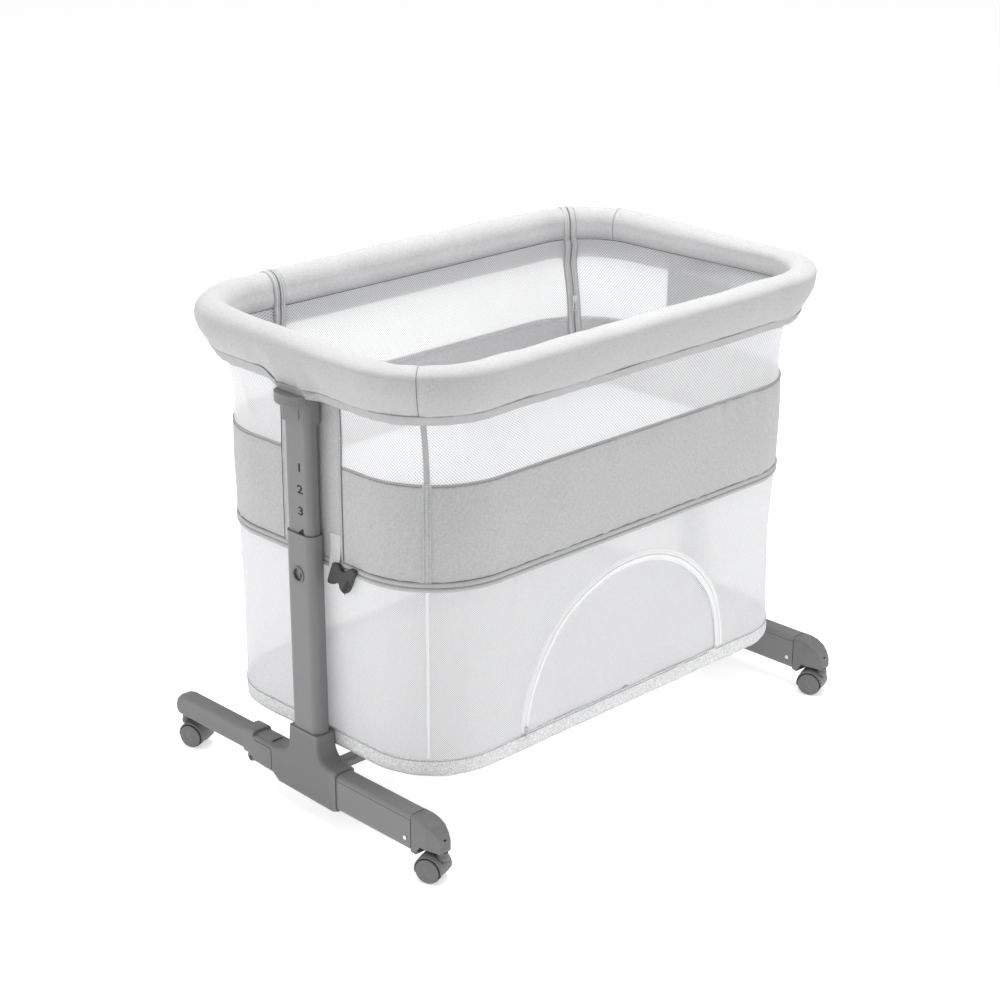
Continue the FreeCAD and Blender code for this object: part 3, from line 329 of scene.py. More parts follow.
def grid(name, G, mat, cu=False, cv=False, U=None, V=None, cap=True, smooth=True, flip=False):
    """Quads over a grid of points G[v, u]; UVs are in metres along the cloth."""
    nv, nu = G.shape[:2]
    if U is None:
        d = np.linalg.norm(np.diff(G[nv // 2], axis=0), axis=1)
        U = np.concatenate([[0], np.cumsum(d)])
    if V is None:
        d = np.linalg.norm(np.diff(G[:, nu // 2], axis=0), axis=1)
        V = np.concatenate([[0], np.cumsum(d)])
    U, V = np.asarray(U, float) * MM, np.asarray(V, float) * MM
    if cu:
        U = np.append(U, U[-1] + (U[-1] - U[-2]))
    if cv:
        V = np.append(V, V[-1] + (V[-1] - V[-2]))
    iu = np.arange(nu if cu else nu - 1)
    iv = np.arange(nv if cv else nv - 1)
    A, B = np.meshgrid(iu, iv)
    A, B = A.ravel(), B.ravel()
    A1, B1 = (A + 1) % nu, (B + 1) % nv
    quads = np.stack([B * nu + A, B * nu + A1, B1 * nu + A1, B1 * nu + A], 1)
    uv = np.stack([np.stack([U[A], V[B]], 1), np.stack([U[A + 1], V[B]], 1),
                   np.stack([U[A + 1], V[B + 1]], 1), np.stack([U[A], V[B + 1]], 1)], 1)
    if flip:
        quads, uv = quads[:, ::-1], uv[:, ::-1]
    faces = quads.tolist()
    uvs = uv.reshape(-1, 2)
    if cv and not cu and cap:
        lo = [j * nu for j in range(nv)]
        hi = [j * nu + nu - 1 for j in range(nv)]
        f1, f2 = (lo[::-1], hi) if not flip else (lo, hi[::-1])
        faces += [f1, f2]
        add = np.concatenate([np.stack([np.zeros(nv), V[:nv]], 1), np.stack([np.zeros(nv), V[:nv]], 1)])
        uvs = np.concatenate([uvs, add])
    me = bpy.data.meshes.new(name)
    me.from_pydata((G.reshape(-1, 3) * MM).tolist(), [], faces)
    layer = me.uv_layers.new(name="UVMap")
    layer.data.foreach_set("uv", uvs.astype(np.float32).ravel())
    me.materials.append(mat)
    me.polygons.foreach_set("use_smooth", np.full(len(me.polygons), smooth))
    me.update()
    o = bpy.data.objects.new(name, me)
    bpy.context.scene.collection.objects.link(o)
    return o


def raw(name, verts, faces, mat, smooth=True, uv_scale=True):
    """Mesh from plain lists; UVs by the dominant axes, in metres."""
    me = bpy.data.meshes.new(name)
    v = np.asarray(verts, float) * MM
    me.from_pydata(v.tolist(), [], faces)
    me.materials.append(mat)
    me.polygons.foreach_set("use_smooth", np.full(len(me.polygons), smooth))
    layer = me.uv_layers.new(name="UVMap")
    me.update()
    nl = len(me.loops)
    vi = np.zeros(nl, np.int32)
    me.loops.foreach_get("vertex_index", vi)
    co = v[vi]
    nrm = np.zeros(len(me.polygons) * 3, np.float32)
    me.polygons.foreach_get("normal", nrm)
    nrm = np.abs(nrm.reshape(-1, 3))
    tot = np.zeros(len(me.polygons), np.int32)
    me.polygons.foreach_get("loop_total", tot)
    dom = np.repeat(nrm.argmax(1), tot)
    uv = np.where((dom == 0)[:, None], co[:, [1, 2]], np.where((dom == 1)[:, None], co[:, [0, 2]], co[:, [0, 1]]))
    layer.data.foreach_set("uv", uv.astype(np.float32).ravel())
    o = bpy.data.objects.new(name, me)
    bpy.context.scene.collection.objects.link(o)
    return o


def bevel(o, width, segs=3, angle=35):
    m = o.modifiers.new("bevel", "BEVEL")
    m.width = width * MM
    m.segments = segs
    m.limit_method = "ANGLE"
    m.angle_limit = math.radians(angle)
    m.harden_normals = False
    return o


def subdiv(o, n=1):
    m = o.modifiers.new("subdiv", "SUBSURF")
    m.levels = n
    m.render_levels = n
    return o


class Batch:
    """Collects many small shapes into one mesh."""

    def __init__(self):
        self.v, self.f, self.n = [], [], 0

    def add(self, verts, faces):
        verts = np.asarray(verts, float)
        self.v.append(verts)
        self.f += [[i + self.n for i in f] for f in faces]
        self.n += len(verts)

    def make(self, name, mat, smooth=True):
        return raw(name, np.concatenate(self.v), self.f, mat, smooth)


def resample(P, step, closed=False):
    P = np.asarray(P, float)
    if closed:
        P = np.vstack([P, P[:1]])
    d = np.concatenate([[0], np.cumsum(np.linalg.norm(np.diff(P, axis=0), axis=1))])
    n = max(2, int(round(d[-1] / step)))
    s = np.linspace(0, d[-1], n + 1)[: n if closed else n + 1]
    return np.stack([np.interp(s, d, P[:, i]) for i in range(3)], 1)


def frames(P, up, closed=False):
    """Tangent, side and normal along a line; up is a normal per point or one vector."""
    P = np.asarray(P, float)
    t = (np.roll(P, -1, 0) - np.roll(P, 1, 0)) if closed else np.gradient(P, axis=0)
    t /= np.maximum(np.linalg.norm(t, axis=1, keepdims=True), 1e-9)
    up = np.broadcast_to(np.asarray(up, float), P.shape)
    s = np.cross(t, up)
    s /= np.maximum(np.linalg.norm(s, axis=1, keepdims=True), 1e-9)
    n = np.cross(s, t)
    return t, s, n


def tube(name, P, r, mat, up=(0, 0, 1), closed=False, k=8, flat=1.0):
    """Round cord or piping along a line; flat squeezes it along the normal."""
    P = np.asarray(P, float)
    t, s, n = frames(P, up, closed)
    a = np.arange(k) * TAU / k
    G = P[None] + r * (np.cos(a)[:, None, None] * s[None] + flat * np.sin(a)[:, None, None] * n[None])
    return grid(name, G, mat, cu=closed, cv=True, flip=True)


def ribbon(name, P, N, prof, mat, closed=False, thick=0.8):
    """Tape along a line P with surface normals N; prof lists (across, height)."""
    P = np.asarray(P, float)
    t, s, n = frames(P, N, closed)
    q = np.array([a for a, b in prof])
    h = np.array([b for a, b in prof])
    top = P[None] + q[:, None, None] * s[None] + h[:, None, None] * n[None]
    low = P[None] + q[::-1][:, None, None] * s[None] + (np.minimum(h, 0.0) - 0.0)[::-1][:, None, None] * n[None] \
        - thick * 0.5 * n[None]
    G = np.concatenate([top, low], 0)
    return grid(name, G, mat, cu=closed, cv=True, flip=False)


def stitches(batch, P, N, pitch=3.6, length=2.5, r=0.42, lift=0.15, closed=False, slant=0.0):
    """Rows of single thread stitches lying on a surface."""
    L = resample(P, pitch, closed)
    src = np.asarray(P, float)
    idx = np.array([np.argmin(((src - p) ** 2).sum(1)) for p in L]) if len(src) < 4000 else None
    NN = np.broadcast_to(np.asarray(N, float), src.shape)[idx]
    t, s, n = frames(L, NN, closed)
    d = t + slant * s
    d /= np.linalg.norm(d, axis=1, keepdims=True)
    e = np.cross(n, d)
    for i in range(len(L)):
        c = L[i] + n[i] * lift
        a, b = c - d[i] * length / 2, c + d[i] * length / 2
        rings = []
        for q, f in ((-0.28, 1.0), (0.28, 1.0)):
            m = c + d[i] * length * q + n[i] * r * 0.25
            for ang in (0, 1, 2, 3):
                w = ang * math.pi / 2
                rings.append(m + r * f * (math.cos(w) * e[i] + math.sin(w) * n[i]))
        v = [a] + rings + [b]
        f = []
        for j in range(4):
            k2 = (j + 1) % 4
            f += [[0, 1 + k2, 1 + j], [1 + j, 1 + k2, 5 + k2, 5 + j], [5 + j, 5 + k2, 9]]
        batch.add(v, f)


class Wobble:
    """Smooth repeatable unevenness in two directions."""

    def __init__(self, seed, n, lmin, lmax, squash=1.0):
        g = np.random.default_rng(seed)
        lam = np.exp(g.uniform(math.log(lmin), math.log(lmax), n))
        th = g.uniform(0, math.pi, n)
        self.k = np.stack([np.cos(th) / lam, np.sin(th) / lam * squash], 1) * TAU
        self.p = g.uniform(0, TAU, n)
        self.a = (lam / lmax) ** 0.6
        self.a /= np.sqrt((self.a ** 2).sum() / 2)

    def __call__(self, s, z):
        out = np.zeros(np.broadcast(s, z).shape)
        for (ks, kz), p, a in zip(self.k, self.p, self.a):
            out = out + a * np.sin(ks * s + kz * z + p)
        return out


def sstep(x, a, b):
    t = np.clip((np.asarray(x, float) - a) / (b - a), 0, 1)
    return t * t * (3 - 2 * t)


# ---------------------------------------------------------------- loops
XL = -268.0
REF = (424.8, 263.4, 133.7, 378.0)


def seg_lengths():
    hx, hy, r, xg = REF
    th = math.acos((xg - (hx - r)) / r)
    return [hy - r, r * th, r * (math.pi / 2 - th), hx - r - XL, XL + hx - r, r * math.pi / 2,
            2 * (hy - r), r * math.pi / 2, 2 * (hx - r), r * math.pi / 2, hy - r]


def counts(step):
    return [max(2, int(round(L / step))) for L in seg_lengths()]


def ring(hx, hy, r, xg, cnt):
    """Points and outward normals round a rounded rectangle, counter-clockwise from +X."""
    a, b = hx - r, hy - r
    th = math.acos(max(-1, min(1, (xg - a) / r)))
    P, Nn = [], []

    def line(p, q, n, k):
        for i in range(k):
            f = i / k
            P.append((p[0] + (q[0] - p[0]) * f, p[1] + (q[1] - p[1]) * f))
            Nn.append(n)

    def arc(cx, cy, t0, t1, k):
        for i in range(k):
            t = t0 + (t1 - t0) * i / k
            P.append((cx + r * math.cos(t), cy + r * math.sin(t)))
            Nn.append((math.cos(t), math.sin(t)))

    h = math.pi / 2
    line((hx, 0), (hx, b), (1, 0), cnt[0])
    arc(a, b, 0, th, cnt[1])
    arc(a, b, th, h, cnt[2])
    line((a, hy), (XL, hy), (0, 1), cnt[3])
    line((XL, hy), (-a, hy), (0, 1), cnt[4])
    arc(-a, b, h, 2 * h, cnt[5])
    line((-hx, b), (-hx, -b), (-1, 0), cnt[6])
    arc(-a, -b, 2 * h, 3 * h, cnt[7])
    line((-a, -hy), (a, -hy), (0, -1), cnt[8])
    arc(a, -b, 3 * h, 4 * h, cnt[9])
    line((hx, -b), (hx, 0), (1, 0), cnt[10])
    return np.array(P), np.array(Nn)


def starts(cnt):
    return np.concatenate([[0], np.cumsum(cnt)])


def arclen(P):
    return np.concatenate([[0], np.cumsum(np.linalg.norm(np.diff(P, axis=0), axis=1))])


def pick(arr, i0, i1, axis=1):
    """Stations i0..i1 inclusive, wrapping past the end."""
    m = arr.shape[axis]
    return np.take(arr, np.arange(i0, i1 + 1) % m, axis=axis)


def spline(pts, k=4):
    """Catmull-Rom through the points."""
    P = np.asarray(pts, float)
    Q = np.vstack([2 * P[0] - P[1], P, 2 * P[-1] - P[-2]])
    out = []
    for i in range(1, len(Q) - 2):
        for j in range(k):
            t = j / k
            a, b, c, d = Q[i - 1], Q[i], Q[i + 1], Q[i + 2]
            out.append(0.5 * ((2 * b) + (c - a) * t + (2 * a - 5 * b + 4 * c - d) * t * t
                              + (3 * b - a - 3 * c + d) * t ** 3))
    out.append(P[-1])
    return np.array(out)


def place(o, body, replaces=()):
    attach(o, body)
    if replaces:
        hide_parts(*replaces)
    return o


# =====================================================================
# top rail
# =====================================================================
RAIL_HX, RAIL_HY, RAIL_R, RAIL_Z = 441.0, 271.5, 120.0, 740.0
STEP = 5.0
CNT = counts(STEP)
ST = starts(CNT)
M = int(ST[-1])
G0, G1 = int(ST[2]), int(ST[4])            # the drop side lies between these stations
CP, CN = ring(RAIL_HX, RAIL_HY, RAIL_R, 378.0, CNT)
CS = arclen(np.vstack([CP, CP[:1]]))[:-1]
END = np.abs(CN[:, 0]) > 0.999
POSTW = np.where(np.abs(CP[:, 0]) > 430, 1 - sstep(np.abs(CP[:, 1] + 10), 30, 52), 0.0)
LIFT = sstep(CP[:, 1], 38, 72)


def pad_sections():
    arc = [(24.0 * math.cos(t), 24.0 * math.sin(t)) for t in np.linspace(0, math.pi, 25)]
    inner = [(-24.6, -5), (-25.3, -11), (-24.9, -18), (-23.6, -23), (-21.8, -26.2), (-19.8, -27.4)]
    low0 = [(3.0, -58.2), (4.9, -57.2), (7.2, -53.4), (11.2, -45.5), (15.6, -35), (19.8, -23), (22.8, -10)]
    low1 = [(4.0, -45.2), (6.0, -44.2), (8.6, -41.0), (12.8, -34.5), (17.2, -26), (20.9, -16.5), (23.3, -7)]
    lowp = [(15.6, -55.4), (18.0, -54.0), (19.6, -49.8), (21.2, -42), (22.6, -32), (23.6, -21), (24.1, -9)]
    out = []
    for low, closing in ((low0, [(-12, -38), (-3, -50)]), (low1, [(-12, -36), (-3, -43)]),
                         (lowp, [(-12, -38), (2, -49)])):
        out.append(np.vstack([spline(low, 3)[:-1], spline([low[-1]] + arc[:3], 2)[:-1],
                              arc[2:-3], spline([arc[-3], arc[-2], arc[-1]] + inner, 3),
                              closing[:]]))
    n = min(len(x) for x in out)
    return [x[:n] for x in out]


S0, S1, SP = pad_sections()
NSEC = len(S0)


def blend_section(a, b, c):
    L, W = LIFT[None, :, None], POSTW[None, :, None]
    s = a[:, None, :] * (1 - L) + b[:, None, :] * L
    return s * (1 - W) + c[:, None, :] * W


def shape(sec):
    """The padding is thinner along the storage-door side and fuller at the far side and the right end."""
    d = sec.copy()
    near = sstep(-CP[:, 1], -150, 150)[None]
    far = (sstep(CP[:, 1], 120, 240) * (1 - sstep(CP[:, 0], 150, 330)))[None]
    right = sstep(CP[:, 0], 330, 441)[None]
    up = sec[..., 1] > 0
    d[..., 1] = np.where(up, sec[..., 1] * (1 - 0.42 * near + 0.13 * far), sec[..., 1])
    d[..., 0] = np.where(sec[..., 0] < 0, sec[..., 0] * (1 - 0.26 * near), sec[..., 0])
    hug = np.clip((sec[..., 0] - 4) / 16.0, 0, 1) * np.clip((sec[..., 1] + 50) / 30.0, 0, 1)
    d[..., 0] += 5.5 * right * hug + 2.0 * np.where(CP[None, :, 0] < -400, 1.0, 0.0) * hug
    return d


def sweep(sec):
    """Section points (dx, dz) per station to points in space."""
    x = CP[None, :, 0] + CN[None, :, 0] * sec[..., 0]
    y = CP[None, :, 1] + CN[None, :, 1] * sec[..., 0]
    return np.stack([x, y, RAIL_Z + sec[..., 1]], 2)


sec = shape(blend_section(S0, S1, SP))
PAD = sweep(sec)
vlen = arclen(S0)
nrm = normals_of(PAD, cu=True, cv=True)
w1, w2 = Wobble(3, 16, 60, 230, 1.2), Wobble(5, 18, 16, 46, 0.9)
Sg, Vg = np.meshgrid(CS, vlen)
amp = np.ones(NSEC)
amp[:6] = np.linspace(0.15, 1, 6)
k0 = np.argmin(np.abs(S0[:, 0] + 21.8) + np.abs(S0[:, 1] + 26.2))
amp[k0 - 5:k0 + 1] = np.linspace(1, 0.2, 6)
amp[k0 + 1:] = 0
corner = 1 - np.abs(CN).max(1)                     # 0 on the straights, 0.29 mid corner
dis = (0.55 * w1(Sg, Vg) + 0.16 * w2(Sg, Vg)) * amp[:, None]
# short puckers along the inner side of the corners and beside the seams
inner_w = np.exp(-((vlen - vlen[k0] + 10) / 16.0) ** 2)
pk = Wobble(11, 10, 9, 22, 0.15)
dis += inner_w[:, None] * (0.10 + 2.2 * corner[None, :]) * pk(Sg, Vg) * 0.9
low_w = np.exp(-((vlen - 6) / 11.0) ** 2)
dis += low_w[:, None] * (0.16 + 0.5 * POSTW[None, :]) * pk(Sg + 40, Vg) * 0.9
# soft hollow beside each post head, where the cover is pulled over it
for sx in (-1, 1):
    near = np.where(CP[:, 0] * sx > 430, 1.0, 0.0)
    for yy, wd, dd in ((62, 20, -3.4), (-52, 22, -2.2), (-10, 22, 1.2)):
        dis += (near * np.exp(-((CP[:, 1] - yy) / wd) ** 2))[None, :] * \
            np.exp(-((vlen - 26) / 22.0) ** 2)[:, None] * dd
# the drop side is a separate length: the cover pulls in a little at both zips
for g in (G0, G1):
    dd = np.abs(np.arange(M) - g)
    dd = np.minimum(dd, M - dd) * STEP
    dis -= (1.3 * np.exp(-(dd / 20.0) ** 2))[None, :] * np.minimum(amp, 1)[:, None]
# vertical cover seams at the front-left and rear-right corners
cs1 = int(np.argmin((CP[:, 0] + 421) ** 2 + (CP[:, 1] + 236) ** 2))
cs2 = int(np.argmin((CP[:, 0] - 436) ** 2 + (CP[:, 1] - 186) ** 2))
for c in (cs1, cs2):
    dd = np.abs(np.arange(M) - c)
    dd = np.minimum(dd, M - dd) * STEP
    dis -= (0.9 * np.exp(-(dd / 5.0) ** 2))[None, :] * np.minimum(amp, 1)[:, None]
PAD = PAD + nrm * dis[..., None]

pad_fixed = grid("rail_pad_cover", pick(PAD, G1, G0 + M), RAIL, cv=True, U=pick(CS[None], G1, G0 + M)[0] * 0
                 + np.arange(G0 + M - G1 + 1) * STEP, V=vlen)
pad_gate = grid("drop_side_pad_cover", pick(PAD, G0, G1), RAIL, cv=True,
                U=np.arange(G1 - G0 + 1) * STEP, V=vlen)
place(pad_fixed, "basket", ["rail_padding"])
place(pad_gate, "drop_side", ["drop_side_padding"])


# trim band under the padding
def trim_sections():
    out = []
    for seam, mid, low in (((5.4, -57.0), (2.6, -63.2), (-2.0, -71.0)),
                           ((6.4, -44.2), (1.6, -52.4), (-5.2, -62.8)),
                           ((18.0, -54.2), (17.6, -60.0), (17.0, -66.0))):
        top = spline([seam, mid, low], 7)
        d = np.gradient(top, axis=0)
        d /= np.linalg.norm(d, axis=1, keepdims=True)
        nn = np.stack([-d[:, 1], d[:, 0]], 1)
        nn *= np.sign(nn[0, 0]) if abs(nn[0, 0]) > 1e-6 else 1
        end = top[-1]
        roll = [end + d[-1] * 0.9 + nn[-1] * 0.5, end + d[-1] * 1.3, end + d[-1] * 0.9 - nn[-1] * 0.9]
        outer = top + nn * 0.6
        outer[-4:] += nn[-4:] * np.array([0.1, 0.35, 0.5, 0.3])[:, None]
        inner = (top - nn * 0.7)[::-1]
        s = np.vstack([outer, roll, inner])
        out.append(s[::-1])
    return out


T0, T1, TP = trim_sections()
TSEC = blend_section(T0, T1, TP)
TRIM = sweep(TSEC)
tn = normals_of(TRIM, cu=True, cv=True)
tv = arclen(T0)
wt = Wobble(17, 12, 14, 40, 0.2)
Sg2, Vg2 = np.meshgrid(CS, tv)
TRIM = TRIM + tn * (0.28 * wt(Sg2, Vg2 * 0))[..., None]
TRIM[..., 2] += (0.35 * Wobble(19, 8, 40, 150)(CS, 0.0))[None, :]
trim_fixed = place(grid("rail_trim_band", pick(TRIM, G1, G0 + M), TRIMC, cv=True,
                        U=np.arange(G0 + M - G1 + 1) * STEP, V=tv), "basket")
trim_gate = place(grid("drop_side_trim_band", pick(TRIM, G0, G1), TRIMC, cv=True,
                       U=np.arange(G1 - G0 + 1) * STEP, V=tv), "drop_side")


def rail_line(dx0, dz0, dx1, dz1, dxp, dzp):
    s = blend_section(np.array([[dx0, dz0]]), np.array([[dx1, dz1]]), np.array([[dxp, dzp]]))
    return sweep(shape(s))[0]


def out_normals(tilt=0.5):
    n = np.stack([CN[:, 0], CN[:, 1], np.full(M, -tilt)], 1)
    return n / np.linalg.norm(n, axis=1, keepdims=True)


def both(name, P, N, fn, body_a="basket", body_b="drop_side"):
    a = fn(name, pick(P[None], G1, G0 + M)[0], pick(N[None], G1, G0 + M)[0])
    b = fn(name.replace("rail", "drop_side"), pick(P[None], G0, G1)[0], pick(N[None], G0, G1)[0])
    return place(a, body_a), place(b, body_b)


# stitch rows: one on the padding just above the seam, one on the trim, one along the inner seam
def two_rows(label, P, N, mat, **kw):
    a, b = Batch(), Batch()
    stitches(a, pick(P[None], G1, G0 + M)[0], pick(N[None], G1, G0 + M)[0], **kw)
    stitches(b, pick(P[None], G0, G1)[0], pick(N[None], G0, G1)[0], **kw)
    return (place(a.make(label, mat), "basket"),
            place(b.make("drop_side_" + label, mat), "drop_side"))


two_rows("seam_stitches", rail_line(2.9, -59.6, 3.4, -46.6, 18.6, -56.2), out_normals(1.0), TH_GREY,
         pitch=3.9, length=2.7, r=0.38, lift=0.45)
both("rail_seam_groove", rail_line(4.2, -57.7, 5.2, -44.8, 17.2, -54.8), out_normals(0.3),
     lambda n, P, N: tube(n, P, 0.75, SEAMC, N, k=6))
both("rail_inner_seam_groove", rail_line(-20.6, -27.6, -20.6, -27.6, -20.6, -27.6), -out_normals(0.4),
     lambda n, P, N: tube(n, P, 0.8, SEAMC, N, k=6))
two_rows("inner_seam_stitches", rail_line(-24.0, -23.6, -24.0, -23.6, -24.0, -23.6), -out_normals(0.3), TH_GREY,
         pitch=4.2, length=2.8, r=0.36, lift=0.35)
# vertical cover seams on the padding at two corners
k_low = 2
for tag, c in (("front", cs1), ("rear", cs2)):
    line = PAD[k_low:k0 + 1, c % M]
    nn = nrm[k_low:k0 + 1, c % M]
    g = tube("rail_cover_seam_" + tag, line - nn * 0.15, 0.62, SEAMC, nn, k=6)
    place(g, "basket")
    for side in (-1, 1):
        bt = Batch()
        cc = (c + side) % M
        tgt = line * 0.72 + PAD[k_low:k0 + 1, cc] * 0.28
        stitches(bt, tgt + nn * 0.1, nn, pitch=3.8, length=2.4, r=0.3, lift=0.2)
        place(bt.make("rail_cover_stitches_%s_%s" % (tag, "a" if side < 0 else "b"), TH_LIGHT), "basket")

# =====================================================================
# cloth walls
# =====================================================================
CNTW = counts(4.0)
STW = starts(CNTW)
MW = int(STW[-1])
H0, H1 = int(STW[2]), int(STW[4])
RP, RN = ring(*REF, CNTW)
RS = arclen(np.vstack([RP, RP[:1]]))[:-1]
RPER = RS[-1] + np.linalg.norm(RP[0] - RP[-1])
WSTEP = RPER / MW
FRONT = sstep(-RN[:, 1], 0.6, 0.98)               # 1 on the storage-door side
NEARPOST = np.where(np.abs(RN[:, 0]) > 0.9, 1 - sstep(np.abs(RP[:, 1] + 10), 70, 130), 0.0)
ENDS = sstep(np.abs(RN[:, 0]), 0.7, 0.99)


def gate_x(z):
    return 378.0 - 7.0 * max(0.0, min(1.0, (z - 524.0) / 144.0))


def wall_at(z):
    """Outer face of the cloth walls at a height: half sizes and corner radius."""
    Z = [116, 142, 412, 572, 668, 684, 701]
    HX = [419, 419, 424.8, 424.6, 424.4, 421.6, 419.2]
    HY = [252, 252, 261.4, 262.6, 255.0, 252.2, 249.7]
    R = [118.4, 118.4, 137.0, 133.7, 108.0, 101.0, 98.0]
    if 572 < z < 668:          # the net pulls in to a hollow line between band and rail
        t = (z - 572) / 96.0
        g = t ** 1.55
        return (424.6 - 0.2 * g - 2.0 * math.sin(math.pi * min(1, t)) * 0.6,
                262.6 - 7.6 * g - 1.0 * math.sin(math.pi * t),
                133.7 - 25.7 * g)
    return tuple(float(np.interp(z, Z, q)) for q in (HX, HY, R))


def wall_ring(z, off=0.0):
    hx, hy, r = wall_at(z)
    P, Nn = ring(hx + off, hy + off, r + off, gate_x(z), CNTW)
    return np.concatenate([P, np.full((MW, 1), z)], 1), np.concatenate([Nn, np.zeros((MW, 1))], 1)


def wall_rows(zs, offs):
    return np.stack([wall_ring(z, o)[0] for z, o in zip(zs, offs)], 0)


NRM3 = np.concatenate([RN, np.zeros((MW, 1))], 1)

# ---- upper net
zs = np.concatenate([np.linspace(566, 668, 22), [676, 684, 692, 700, 707, 714.5]])
UP = wall_rows(zs, np.full(len(zs), -2.2) + 1.2 * sstep(zs, 590, 668))
UP = UP + NRM3[None] * (sstep(zs, 676, 706)[:, None] * (2.0 + 9.0 * sstep(-RP[:, 1], -150, 150))[None])[..., None]
wn = Wobble(23, 14, 70, 260, 0.8)
wfold = Wobble(29, 10, 26, 70, 0.12)
mask = np.sin(np.pi * np.clip((zs - 566) / 102.0, 0, 1))[:, None]
Sw, Zw = np.meshgrid(RS, zs)
UP = UP + NRM3[None] * ((-0.8 * np.abs(wn(Sw, Zw)) - 0.35 * wfold(Sw, Zw)) * mask * (1 - 0.6 * NEARPOST[None]))[..., None]
net_fixed = grid("mesh_wall_net", pick(UP, H1, H0 + MW), NET_UP, U=np.arange(H0 + MW - H1 + 1) * WSTEP, V=zs - 566)
net_gate = grid("drop_side_net", pick(UP, H0, H1), NET_UP, U=np.arange(H1 - H0 + 1) * WSTEP, V=zs - 566)
place(net_fixed, "basket", ["mesh_wall"])
place(net_gate, "drop_side", ["drop_side_mesh"])


# ---- fabric band: closed shell with gathers under its top seam
def band_grid(z0, z1, n=26, t=2.2):
    zz = np.linspace(z0, z1, n)
    outer = wall_rows(zz, np.zeros(n))
    inner = wall_rows(zz[::-1], np.full(n, -t))
    Sx, Zx = np.meshgrid(RS, zz)
    tt = np.clip((Zx - 412) / 160.0, 0, 1)
    belly = 2.2 * np.sin(math.pi * tt) * (1 - NEARPOST[None]) * (1 - 0.5 * ENDS[None])
    gat = Wobble(31, 14, 9, 30, 0.06)(Sx, Zx)
    gat2 = Wobble(37, 10, 22, 60, 0.10)(Sx + 300, Zx)
    env = np.exp(-(np.maximum(572 - Zx, 0.0) / 34.0) ** 1.2)
    mod = 0.35 + 0.65 * sstep(Wobble(41, 6, 90, 260)(RS, 0.0), -0.4, 0.8)
    front = 0.30 + 0.85 * FRONT
    g = (0.62 * gat + 0.5 * gat2) * env * (mod * front * (1 - NEARPOST))[None]
    low = 0.35 * Wobble(43, 12, 12, 34, 0.08)(Sx, Zx) * np.exp(-((Zx - 425) / 20.0) ** 2) * (1 - NEARPOST[None])
    soft = 0.7 * Wobble(47, 12, 80, 240, 0.9)(Sx, Zx) * np.sin(math.pi * tt) * (1 - NEARPOST[None])
    tuck = -0.9 * np.exp(-((572 - Zx) / 2.5) ** 2)
    d = belly + g + low + soft + tuck
    outer = outer + NRM3[None] * d[..., None]
    inner = inner + NRM3[None] * d[::-1][..., None]
    return np.concatenate([outer, inner], 0), np.concatenate([zz - z0, (z1 - z0) + t + (z1 - zz[::-1])])


BG, bv = band_grid(418.0, 573.0)
# fixed part: whole band away from the drop side
band_fixed = grid("fabric_band_cloth", pick(BG, H1, H0 + MW), BAND, cv=True, U=np.arange(H0 + MW - H1 + 1) * WSTEP, V=bv)
place(band_fixed, "basket", ["fabric_band"])
GL, gv = band_grid(418.0, 512.0, 16)
band_low = grid("fabric_band_bed_side", pick(GL, H0, H1), BAND, cv=True, U=np.arange(H1 - H0 + 1) * WSTEP, V=gv)
place(band_low, "basket")
GU, uvv = band_grid(510.5, 573.0, 22, 2.0)
band_gate = grid("drop_side_band_cloth", pick(GU, H0, H1), BAND, cv=True, U=np.arange(H1 - H0 + 1) * WSTEP, V=uvv)
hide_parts("drop_side_band")


def on_wall(z, off):
    P, Nn = wall_ring(z, off)
    return P, Nn


def follow_band(P3, z):
    """Move a line that lies on the band outward by the belly it has at that height."""
    tt = np.clip((z - 412) / 160.0, 0, 1)
    return P3 + NRM3 * (2.2 * math.sin(math.pi * tt) * (1 - NEARPOST) * (1 - 0.5 * ENDS))[:, None]


def wall_line_pair(name, z, off, r, mat, k=8, flat=1.0, full=False):
    P, Nn = on_wall(z, off)
    P = follow_band(P, z)
    if full:
        return [place(tube(name, P, r, mat, Nn, closed=True, k=k, flat=flat), "basket")]
    a = tube(name, pick(P[None], H1, H0 + MW)[0], r, mat, pick(Nn[None], H1, H0 + MW)[0], k=k, flat=flat)
    b = tube("drop_side_" + name, pick(P[None], H0, H1)[0], r, mat, pick(Nn[None], H0, H1)[0], k=k, flat=flat)
    return [place(a, "basket"), place(b, "drop_side")]


def wall_stitches(label, z, off, mat, full=False, slot="band_cloth", **kw):
    P, Nn = on_wall(z, off)
    P = follow_band(P, z)
    if full:
        b = Batch()
        stitches(b, P, Nn, closed=True, **kw)
        return [place(b.make(label, mat), "basket")]
    a, b = Batch(), Batch()
    stitches(a, pick(P[None], H1, H0 + MW)[0], pick(Nn[None], H1, H0 + MW)[0], **kw)
    stitches(b, pick(P[None], H0, H1)[0], pick(Nn[None], H0, H1)[0], **kw)
    return [place(a.make(label, mat), "basket"), place(b.make("drop_side_" + label, mat), "drop_side")]


# turned edge and dark stitches where the net meets the band
wall_line_pair("band_top_edge", 572.6, -0.6, 0.9, TRIMC, k=6)
wall_stitches("band_top_stitches", 570.0, -0.1, TH_DARK, pitch=3.4, length=2.2, r=0.42, lift=0.1)

